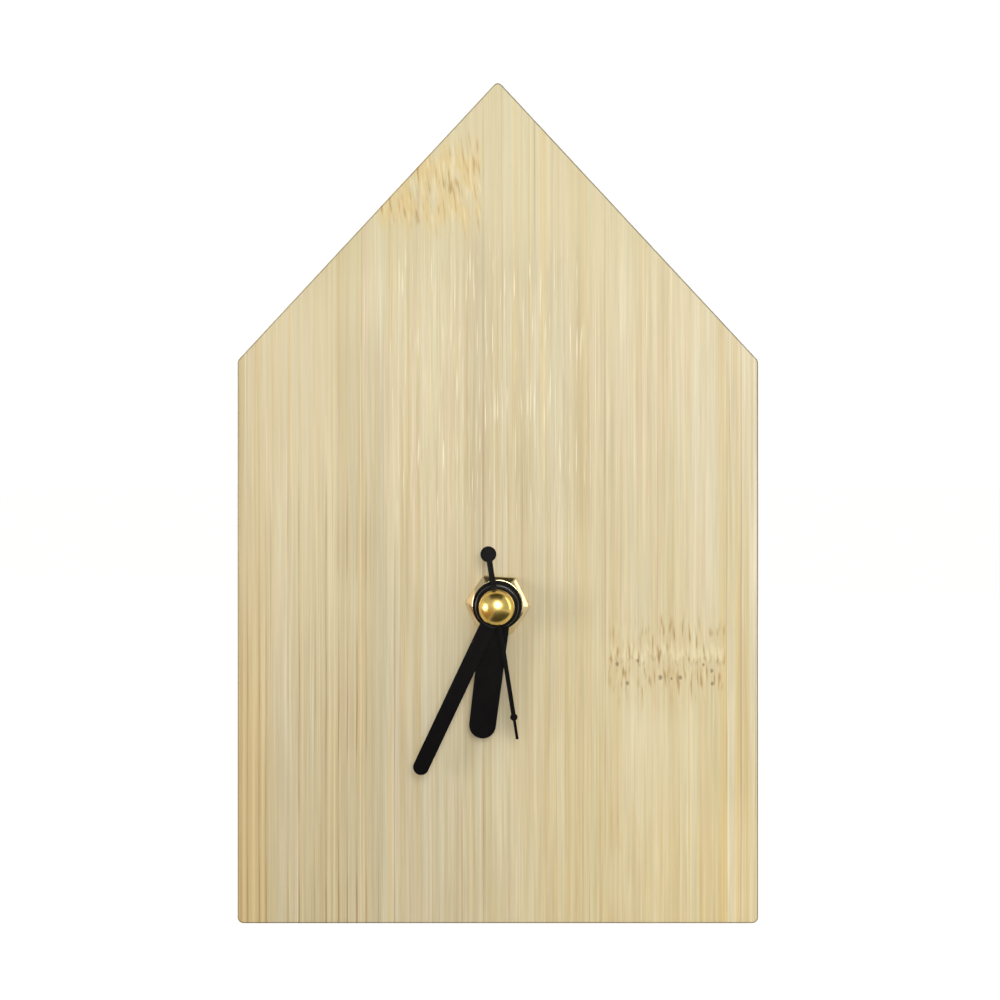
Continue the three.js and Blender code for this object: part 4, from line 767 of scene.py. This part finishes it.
def front_board():
    """The board with its pointed roof. The round of its front rim has painted shade, a darker
    bamboo, at the right, at the right slope of the roof and at the bottom."""
    half, eaves, ridge = 46.5, 100.5, 150.5
    front, back = -4, 4
    board = block("bamboo_front_board", (-half, front, 0), (half, back, eaves))
    edit(board, "FACE")
    select_faces(lambda centre, normal: normal.z > 0.9)
    rise = {"value": (0, 0, (ridge - eaves) * MM)}
    bpy.ops.mesh.extrude_region_move(TRANSFORM_OT_translate=rise)
    bpy.ops.transform.resize(value=(0, 1, 1), center_override=(0, 0, ridge * MM))
    bpy.ops.mesh.select_all(action="SELECT")
    bpy.ops.mesh.remove_doubles(threshold=1e-6)
    bpy.ops.mesh.select_mode(type="EDGE")
    select_edges(lambda a, b: abs(a.x - b.x) > half and min(a.z, b.z) > 1)
    bpy.ops.mesh.dissolve_edges()
    leave()

    def across_board(a, b):
        return abs(a.y - b.y) > 7

    def at_eaves(a):
        return abs(a.z - eaves) < 1

    def on_rim(a, b):
        return abs(a.y) > back - 0.1 and abs(a.y - b.y) < 0.01

    round_edges(board, 1.05, 5, lambda a, b: across_board(a, b) and not at_eaves(a))
    round_edges(board, 0.39, 3, lambda a, b: across_board(a, b) and at_eaves(a))
    round_edges(board, 0.25, 3, on_rim)
    cut_out(board, rod("bushing_hole", 3.8, -6, 6, z=HANDS_HEIGHT, sides=64))
    smooth(board, 40)
    stand_in(board, "clock", "front_board", "bamboo", BOARD_FACE, BOARD_RIM_PAINTED_SHADE, BOARD_END)
    plain, painted_shade_rim, cut_end = range(3)
    for face in board.data.polygons:
        centre, normal = face.center / MM, face.normal
        in_bore = math.hypot(centre.x, centre.z - HANDS_HEIGHT) < 5
        if abs(normal.y) > 0.97 or in_bore:
            face.material_index = plain
        elif abs(normal.y) > 0.1:
            # Painted shade: front rim faces that don't turn to the left get the darker bamboo.
            light = normal.x < -0.3 or normal.y > 0
            face.material_index = plain if light else painted_shade_rim
        else:
            face.material_index = cut_end if abs(normal.z) > 0.3 else plain


def rear_foot():
    half, front, back, height = 35, 4, 37, 8
    foot = block("bamboo_rear_foot", (-half, front, 0), (half, back, height))
    round_edges(foot, 8, 10, lambda a, b: abs(a.z - b.z) > 7 and a.y > 30)
    round_edges(foot, 0.4, 3, lambda a, b: abs(a.z - b.z) < 0.01 and min(a.y, b.y) > front + 0.01)
    smooth(foot, 40)
    stand_in(foot, "clock", "rear_foot", "bamboo", FOOT_FACE, FOOT_END)
    for face in foot.data.polygons:
        face.material_index = 1 if abs(face.normal.x) > 0.6 and abs(face.normal.z) < 0.5 else 0


# What clamps the movement, and the hands

def hex_nut():
    """The nut is cut from a turned blank with a conical front. The blank's front lies a little
    before the nut's, because two faces in one plane don't cut the same way each time."""
    half_flats, front, back, turn = 5, -6, -4, 34
    corner = half_flats / math.cos(math.pi / 6)
    nut = rod("brass_hexagon_nut", corner, front, back, z=HANDS_HEIGHT, sides=6,
              turn=math.radians(turn))
    round_edges(nut, 0.2, 3, lambda a, b: abs(a.y - b.y) > 1)
    cone = [(4.388, front - 0.05), (corner + 0.1, -4.85), (corner + 0.1, back + 0.1)]
    combine(nut, "INTERSECT", turned("nut_blank", cone, z=HANDS_HEIGHT, sides=96))
    bore = turned("nut_bore", [(4.1, -6.1), (3.6, -5.6), (3.6, -4.4), (3.9, -3.9)],
                  z=HANDS_HEIGHT, sides=64)
    cut_out(nut, bore)
    soften(nut, 0.07, 25)
    smooth(nut, 30)
    stand_in(nut, "clock", "hex_nut", "brass", NUT_BRASS)


def threaded_bushing():
    tip, bore, root, crest, flange, pitch = -6.4, 2.7, 3.2, 3.5, 5, 0.75
    rings = [(bore, tip), (root, tip)]
    depth = tip + 0.3
    while depth < 5.0:
        rings += [(crest, depth), (crest, depth + 0.1), (root, depth + 0.4), (root, depth + 0.45)]
        depth += pitch
    rings += [(crest, 5.6), (crest, 6.0), (4.9, 6.0), (flange, 6.1), (flange, 6.7), (4.9, 6.8)]
    rings += [(bore, 6.8), (bore, tip)]
    bushing = turned("brass_threaded_bushing", rings, z=HANDS_HEIGHT, closed=True)
    smooth(bushing, 30)
    stand_in(bushing, "clock", "threaded_bushing", "brass", PIPE_BRASS)


def blade(name, length, root, tip, back):
    """A flat hand that points up, with a round end."""
    made = block(name, (-root / 2, back - HAND_THICKNESS, 0), (root / 2, back, length))
    edit(made, "FACE")
    select_faces(lambda centre, normal: normal.z > 0.9)
    bpy.ops.transform.resize(value=(tip / root, 1, 1), center_override=(0, 0, length * MM))
    leave()

    def at_tip(a, b):
        return abs(a.y - b.y) > HAND_THICKNESS / 2 and a.z > length - 0.1

    round_edges(made, tip / 2 - 0.005, 10, at_tip)
    return made


def place_hand(hand, angle):
    """Turns a hand that points up by its angle, clockwise as seen from the front."""
    activate(hand)
    hand.rotation_euler = (0, math.radians(angle), 0)
    hand.location = (0, 0, HANDS_HEIGHT * MM)
    return settle(hand)


def hour_hand():
    back = -7.4
    hand = blade("black_hour_hand", 23.65, 5.2, 4.7, back)
    hub = rod("hub", 4.37, back - 0.39, back + 0.005, sides=96)
    collar = rod("collar", 3.15, back - 0.8, back + 0.4, sides=64)
    fuse(hand, hub, collar)
    cut_out(hand, rod("bore", 2.55, back - 2, back + 2, sides=64))
    soften(hand, 0.12, 30)
    smooth(hand)
    place_hand(hand, HOUR_ANGLE)
    stand_in(hand, "hour", "hour_hand", "black_paint", BLACK_PAINT)


def minute_hand():
    back = -9.4
    hand = blade("black_minute_hand", 32.65, 2.81, 2.81, back)
    lip = [(3.85, back + 0.005), (3.85, back - 0.16), (3.78, back - 0.3), (3.6, back - 0.39)]
    hub = turned("hub", lip, sides=96)
    collar = rod("collar", 2.15, back - 0.8, back + 0.4, sides=64)
    fuse(hand, hub, collar)
    cut_out(hand, rod("bore", 1.55, back - 2, back + 2, sides=48))
    soften(hand, 0.12, 30)
    smooth(hand)
    place_hand(hand, MINUTE_ANGLE)
    stand_in(hand, "minute", "minute_hand", "black_paint", BLACK_PAINT)


def second_hand():
    """The fronts and backs of its members lie a little apart, so that no two of their faces share
    a plane."""
    back, tail_end = -11.3, -9.4
    hand = rod("black_second_hand", 2.7, back - 0.3, back, sides=64)
    stem = block("stem", (-0.39, back - 0.27, 0), (0.39, back - 0.01, 19.5))
    needle = block("needle", (-0.25, back - 0.24, 19), (0.25, back - 0.02, 23.4))
    bead = rod("bead", 0.65, back - 0.29, back - 0.005, z=19.5, sides=32)
    tail = block("tail", (-0.5, back - 0.265, tail_end), (0.5, back - 0.012, 0))
    disc = rod("disc", 1.4, back - 0.295, back - 0.002, z=tail_end, sides=48)
    root = rod("root", 0.9, back - 0.28, back - 0.008, z=-2.6, sides=32)
    fuse(hand, tail, root, disc, stem, needle, bead)
    cut_out(hand, rod("bore", 1.05, back - 1, back + 1, sides=32))
    soften(hand, 0.04, 30)
    smooth(hand)
    place_hand(hand, SECOND_ANGLE)
    stand_in(hand, "seconds", "second_hand", "black_paint", BLACK_PAINT)


def second_hand_cap():
    back = -11.6
    rings = [(0.56, back + 0.3), (0.95, back + 0.3), (1.0, back + 0.2), (1.0, back), (3.08, back)]
    rings += [(3.12, back - 0.04), (3.12, back - 0.12), (3.08, back - 0.17), (3.02, back - 0.2)]
    rings += [(3.0, back - 0.3), (3.0, back - 1.5)]
    equator, radius, crown, steps = back - 2.7, 3.0, 1.65, 16
    for i in range(steps):
        angle = i / steps * math.pi / 2
        rings.append((radius * math.cos(angle), equator - crown * math.sin(angle)))
    rings.append((0, equator - crown))
    cap = turned("brass_dome_cap", rings, z=HANDS_HEIGHT, sides=96)
    cut_out(cap, rod("cap_bore", 0.55, back - 0.9, back + 1, z=HANDS_HEIGHT, sides=32))
    smooth(cap, 40)
    stand_in(cap, "seconds", "second_hand_cap", "brass", CAP_GOLD)


# Movement

def rounded_block(name, low, high, radius, steps=6):
    """A block whose four edges along Y are rounded."""
    made = block(name, low, high)
    round_edges(made, radius, steps, lambda a, b: abs(a.y - b.y) > 0.5)
    return made


def movement_case():
    hands = HANDS_HEIGHT
    half, front, back = 28, 4.6, 20.6
    inner, floor, beyond = 26.8, 6, 22
    case = rounded_block(
        "black_movement_case", (-half, front, hands - half), (half, back, hands + half), 3, 8
    )
    round_edges(case, 0.5, 3, lambda a, b: max(a.y, b.y) < front + 0.1)
    cut_out(
        case,
        rounded_block(
            "train_space", (-inner, floor, hands - 11), (inner, beyond, hands + inner), 1.8
        ),
        rounded_block(
            "battery_space", (-inner, floor, hands - inner), (inner, beyond, hands - 12), 0.9
        ),
        rounded_block("notch", (-9, 14.6, hands - 30), (9, beyond, hands - 26.2), 1.2),
        block("slot_right", (25.9, 11.2, hands - 13), (inner, 15.4, hands - 9.2)),
        block("slot_left", (-inner, 11.2, hands - 13), (-25.9, 15.4, hands - 9.2)),
        block("window_right", (26.7, 16.3, hands - 9.3), (28.9, 17.9, hands - 4.9)),
        block("window_left", (-28.9, 16.3, hands - 9.3), (-26.7, 17.9, hands - 4.9)),
        block("window_top", (-2.2, 16.3, hands + 26.7), (2.2, 17.9, hands + 28.9)),
        rod("bushing_hole", 3.6, 4, 7, z=hands, sides=64),
    )
    for x, z in ((-15.5, -8.6), (16.4, -8.6), (16.4, 17.9), (-15.5, 17.9)):
        rings = [(1.4, 5.4), (1.4, 10.6), (0.7, 10.6), (0.7, 11.4), (0.6, 11.5)]
        fuse(case, turned("plate_pillar", rings, x, hands + z, sides=24))
    for x, z in ((-23.8, 14.2), (0, 23.2), (21.8, 23.2)):
        rings = [(1.2, 5.4), (1.2, 15.5), (0.6, 15.5), (0.6, 16.3), (0.5, 16.4)]
        fuse(case, turned("board_post", rings, x, hands + z, sides=24))
    for z in (-8.7, 18.6):
        fuse(case, turned("coil_post", [(1.8, 5.4), (1.8, 13)], 21.8, hands + z, sides=24))
        cut_out(case, rod("screw_bore", 0.8, 10.9, 14, 21.8, hands + z, sides=20))
    for x, z in ((7.212, hands + 7.212), (KNOB_X, KNOB_Z)):
        fuse(case, turned("pivot_boss", [(1.1, 5.4), (1.1, 6.9)], x, z, sides=20))
        cut_out(case, rod("pivot_bore", 0.45, 5.8, 8, x, z, sides=16))
    soften(case, 0.12, 50)
    smooth(case, 30)
    stand_in(case, "clock", "movement_case", "black_plastic", BLACK_PLASTIC)


def rear_cover():
    hands = HANDS_HEIGHT
    edge, front, back = 26.7, 19.4, 20.6
    cover = rounded_block(
        "black_rear_cover", (-edge, front, hands - 10.9), (edge, back, hands + edge), 1.8
    )
    fuse(cover, turned("collar", [(2.7, 18.4), (2.7, 20)], KNOB_X, KNOB_Z, sides=32))
    cut_out(
        cover,
        rod("stem_hole", 1.7, 17, 22, KNOB_X, KNOB_Z, sides=32),
        turned("knob_recess", [(6.2, 20.35), (6.4, 21)], KNOB_X, KNOB_Z, sides=64),
    )
    fuse(cover, catch_leg("leg_right", 1, edge, hands - 7.1))
    fuse(cover, catch_leg("leg_left", -1, edge, hands - 7.1))
    fuse(cover, top_leg(hands + edge))
    for mark_x, mark_z in ((20, hands - 5), (-20, hands + 21), (19, hands + 21)):
        cut_out(cover, rod("ejector_mark", 1.5, 20.52, 21, mark_x, mark_z, sides=24))
    soften(cover, 0.12, 50)
    smooth(cover, 30)
    stand_in(cover, "clock", "rear_cover", "black_plastic", BLACK_PLASTIC)


# Legs and barbs of the cover's catches

LEG_END = 16.4
LEG_ROOT = 19.8
BARB_ROOT = 17.8
BARB_REACH = 0.7


def catch_leg(name, side, edge, z):
    """A spring leg at the cover's right (side 1) or left (side -1) edge, with a wedge-shaped
    barb."""
    low, high = sorted((side * edge, side * (edge - 1)))
    leg = block(name, (low, LEG_END, z - 2), (high, LEG_ROOT, z + 2))
    low, high = sorted((side * (edge - 0.2), side * (edge + BARB_REACH)))
    barb = block("barb", (low, LEG_END, z - 2), (high, BARB_ROOT, z + 2))
    slant(barb, lambda point: side * point.x > edge + BARB_REACH - 0.01)
    return fuse(leg, barb)


def top_leg(edge):
    leg = block("leg_top", (-2, LEG_END, edge - 1), (2, LEG_ROOT, edge))
    barb = block("barb", (-2, LEG_END, edge - 0.2), (2, BARB_ROOT, edge + BARB_REACH))
    slant(barb, lambda point: point.z > edge + BARB_REACH - 0.1)
    return fuse(leg, barb)


def slant(barb, at_point):
    """Moves the barb's outer edge up the leg, so that its end becomes a ramp."""
    edit(barb, "EDGE")
    select_edges(lambda a, b: at_point(a) and at_point(b) and max(a.y, b.y) < LEG_END + 0.1)
    bpy.ops.transform.translate(value=(0, BARB_REACH * MM, 0))
    leave()


def setting_knob():
    x, z = KNOB_X, KNOB_Z
    flutes, front, back = 20, 20.9, 23.9
    narrower = 0.915
    knob = rod("black_setting_knob", 4.75, front, back, x, z, sides=flutes * 4)
    edit(knob, "EDGE")

    def in_flute(point):
        angle = math.degrees(math.atan2(point.z - z, point.x - x)) % (360 / flutes)
        return 4.4 < angle < 13.6

    select_edges(lambda a, b: in_flute(a) and in_flute(b))
    centre = (x * MM, (front + back) / 2 * MM, z * MM)
    bpy.ops.transform.resize(value=(narrower, 1, narrower), center_override=centre)
    leave()
    cut_out(
        knob,
        turned("dish", [(3.1, 23.4), (3.3, 24.1)], x, z, sides=64),
        rod("socket", 1.55, 20, 22.5, x, z, sides=32),
    )
    soften(knob, 0.18, 40)
    smooth(knob, 30)
    stand_in(knob, "setting", "setting_knob", "black_plastic", BLACK_PLASTIC)


def battery_cell():
    """A size AA cell that lies along X with its nub to the right. Its film covers the tube and
    leaves the two ends bare."""
    flat_end = [(5.6, 0.12), (5.9, 0.0), (6.3, 0.0), (6.42, 0.12), (6.42, 0.3)]
    tube = [(6.6, 0.4), (7.0, 0.46), (7.12, 0.6), (7.15, 0.8), (7.15, 48.2), (7.12, 48.4)]
    tube += [(7.0, 48.54), (6.6, 48.6)]
    nub_end = [(6.42, 48.5), (6.3, 48.2), (5.9, 48.1), (3.2, 48.1), (2.85, 48.3), (2.7, 48.6)]
    nub_end += [(2.7, 49.85), (2.6, 50.1), (2.35, 50.2)]
    cell = turned("size_aa_cell", flat_end + tube + nub_end, sides=72)
    activate(cell)
    cell.rotation_euler = (0, 0, -math.pi / 2)
    cell.location = (CELL_START * MM, CELL_DEPTH * MM, CELL_HEIGHT * MM)
    settle(cell)
    smooth(cell, 30)
    film = battery_film(CELL_START + 49)
    stand_in(cell, "cell", "battery_cell", "battery_jacket", film, NICKEL)
    for face in cell.data.polygons:
        centre = face.center / MM
        outside = math.hypot(centre.y - CELL_DEPTH, centre.z - CELL_HEIGHT) > 6.5
        wrapped = outside and 0.42 < centre.x - CELL_START < 48.56
        face.material_index = 0 if wrapped else 1


# Stage

def soft_light(name, place, size, watts, colour=(1, 1, 1)):
    """A softbox that is aimed at the hands' hub."""
    hub = Vector((0, -0.01, 0.06))
    lamp = bpy.data.lights.new(name, "AREA")
    lamp.shape = "ELLIPSE"
    lamp.size, lamp.size_y = size
    lamp.energy = watts
    lamp.color = colour
    made = bpy.data.objects.new(name, lamp)
    bpy.context.scene.collection.objects.link(made)
    made.location = place
    made.rotation_euler = (hub - Vector(place)).to_track_quat("-Z", "Y").to_euler()


def stage():
    """A pale floor and a white world, both brighter to the camera than they light, five softboxes
    and the felt cards."""
    just_below = -0.00002
    deselect()
    bpy.ops.mesh.primitive_plane_add(size=8, location=(0, 0, just_below))
    floor = bpy.context.object
    floor.name = "studio_floor"
    paper = Finish("studio_floor_paper", (0.62, 0.62, 0.61), 0.9)
    seen = paper.node("LightPath", output="Is Camera Ray")
    glow = paper.node("Emission", {"Color": (1, 1, 1, 1), "Strength": 1.22})
    matt = Socket(paper, paper.shader.outputs[0])
    blend = paper.node("MixShader", {0: seen * 0.76, 1: matt, 2: glow})
    paper.feed(paper.tree.nodes["Material Output"].inputs["Surface"], blend)
    floor.data.materials.append(paper.material)
    settle(floor)

    world = bpy.data.worlds.new("studio")
    bpy.context.scene.world = world
    world.use_nodes = True
    tree = world.node_tree
    sky = tree.nodes["Background"]
    sky.inputs["Color"].default_value = (1, 0.99, 0.97, 1)
    sky.inputs["Strength"].default_value = 0.45
    white = tree.nodes.new("ShaderNodeBackground")
    white.inputs["Color"].default_value = (1, 1, 1, 1)
    white.inputs["Strength"].default_value = 1.05
    ray = tree.nodes.new("ShaderNodeLightPath")
    mix = tree.nodes.new("ShaderNodeMixShader")
    tree.links.new(ray.outputs["Is Camera Ray"], mix.inputs[0])
    tree.links.new(sky.outputs[0], mix.inputs[1])
    tree.links.new(white.outputs[0], mix.inputs[2])
    tree.links.new(mix.outputs[0], tree.nodes["World Output"].inputs["Surface"])

    soft_light("front_softbox", (0.061, -0.594, 0.185), (0.2, 0.22), 1.6, (1, 0.99, 0.95))
    soft_light("right_softbox", (0.515, -0.132, 0.2), (0.22, 0.75), 0.75, (1, 0.97, 0.86))
    soft_light("left_softbox", (-0.47, -0.383, 0.07), (0.26, 0.26), 1.2, (1, 0.98, 0.94))
    soft_light("left_wall", (-0.55, -0.06, 0.09), (0.45, 0.5), 0.23, (1, 0.72, 0.5))
    soft_light("back_softbox", (0.3, 0.6, 0.4), (0.6, 0.5), 3.2)
    olive, tan = (0.03, 0.026, 0.009), (0.36, 0.2, 0.08)
    felt_card("floor_card_right", (0.055, -0.267, 0.0005), (0.17, 0.466), 0, olive)
    felt_card("floor_card_left", (-0.22, -0.24, 0.0005), (0.36, 0.42), 0, tan)
    felt_card("ceiling_card", (0, -0.27, 0.46), (0.5, 0.48), 0, olive)
    felt_card("camera_card", (-0.03, -0.8, 0.03), (0.3, 0.1), math.pi / 2, olive)

    bpy.context.scene.view_settings.view_transform = "Standard"


def felt_card(name, place, size, tilt, colour):
    """A felt card beyond the edge of the picture, which only shiny pieces mirror."""
    deselect()
    bpy.ops.mesh.primitive_plane_add(size=1, location=place, rotation=(tilt, 0, 0))
    card = bpy.context.object
    card.name = name
    card.scale = (*size, 1)
    card.data.materials.append(Finish(name + "_felt", colour, 0.9).material)
    settle(card)
    card.visible_camera = False
    card.visible_diffuse = False
    card.visible_shadow = False


def camera():
    """Level and square to the board, with the picture shifted to where the board stands in it."""
    lens = bpy.data.cameras.new("camera")
    lens.sensor_width = 36
    lens.lens = 80.66
    lens.shift_x = -0.060
    lens.shift_y = -0.060
    made = bpy.data.objects.new("camera", lens)
    bpy.context.scene.collection.objects.link(made)
    made.location = (0.0111, -0.404, 0.0863)
    made.rotation_euler = (math.pi / 2, 0, 0)
    bpy.context.scene.camera = made


camera()
stage()
front_board()
rear_foot()
hex_nut()
threaded_bushing()
hour_hand()
minute_hand()
second_hand()
second_hand_cap()
movement_case()
rear_cover()
setting_knob()
battery_cell()

KEPT_NODES = {
    "foot_dowel_left": BEECH, "foot_dowel_right": BEECH, "rubber_washer": RUBBER,
    "middle_plate": WHITE_PLASTIC, "train_bridge": WHITE_PLASTIC, "hour_wheel": BLACK_PLASTIC,
    "cannon_pinion": PIPE_BRASS, "minute_wheel": GREEN_PLASTIC, "third_wheel": WHITE_PLASTIC,
    "seconds_wheel": GREEN_PLASTIC, "seconds_shaft": STEEL, "intermediate_wheel": WHITE_PLASTIC,
    "rotor_pinion": WHITE_PLASTIC, "rotor_magnet": MAGNET, "setting_wheel": WHITE_PLASTIC,
    "stator_plate": SOFT_IRON, "coil_core": SOFT_IRON, "coil_bobbin": WHITE_PLASTIC,
    "coil_winding": COPPER, "stator_screw_lower": STEEL, "stator_screw_upper": STEEL,
    "circuit_board": LAMINATE, "quartz_crystal": STEEL, "control_chip": CHIP_RESIN,
    "battery_contact_positive": NICKEL, "battery_contact_negative": NICKEL,
}
for node, material in KEPT_NODES.items():
    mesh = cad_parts[node].data
    mesh.materials.clear()
    mesh.materials.append(material)
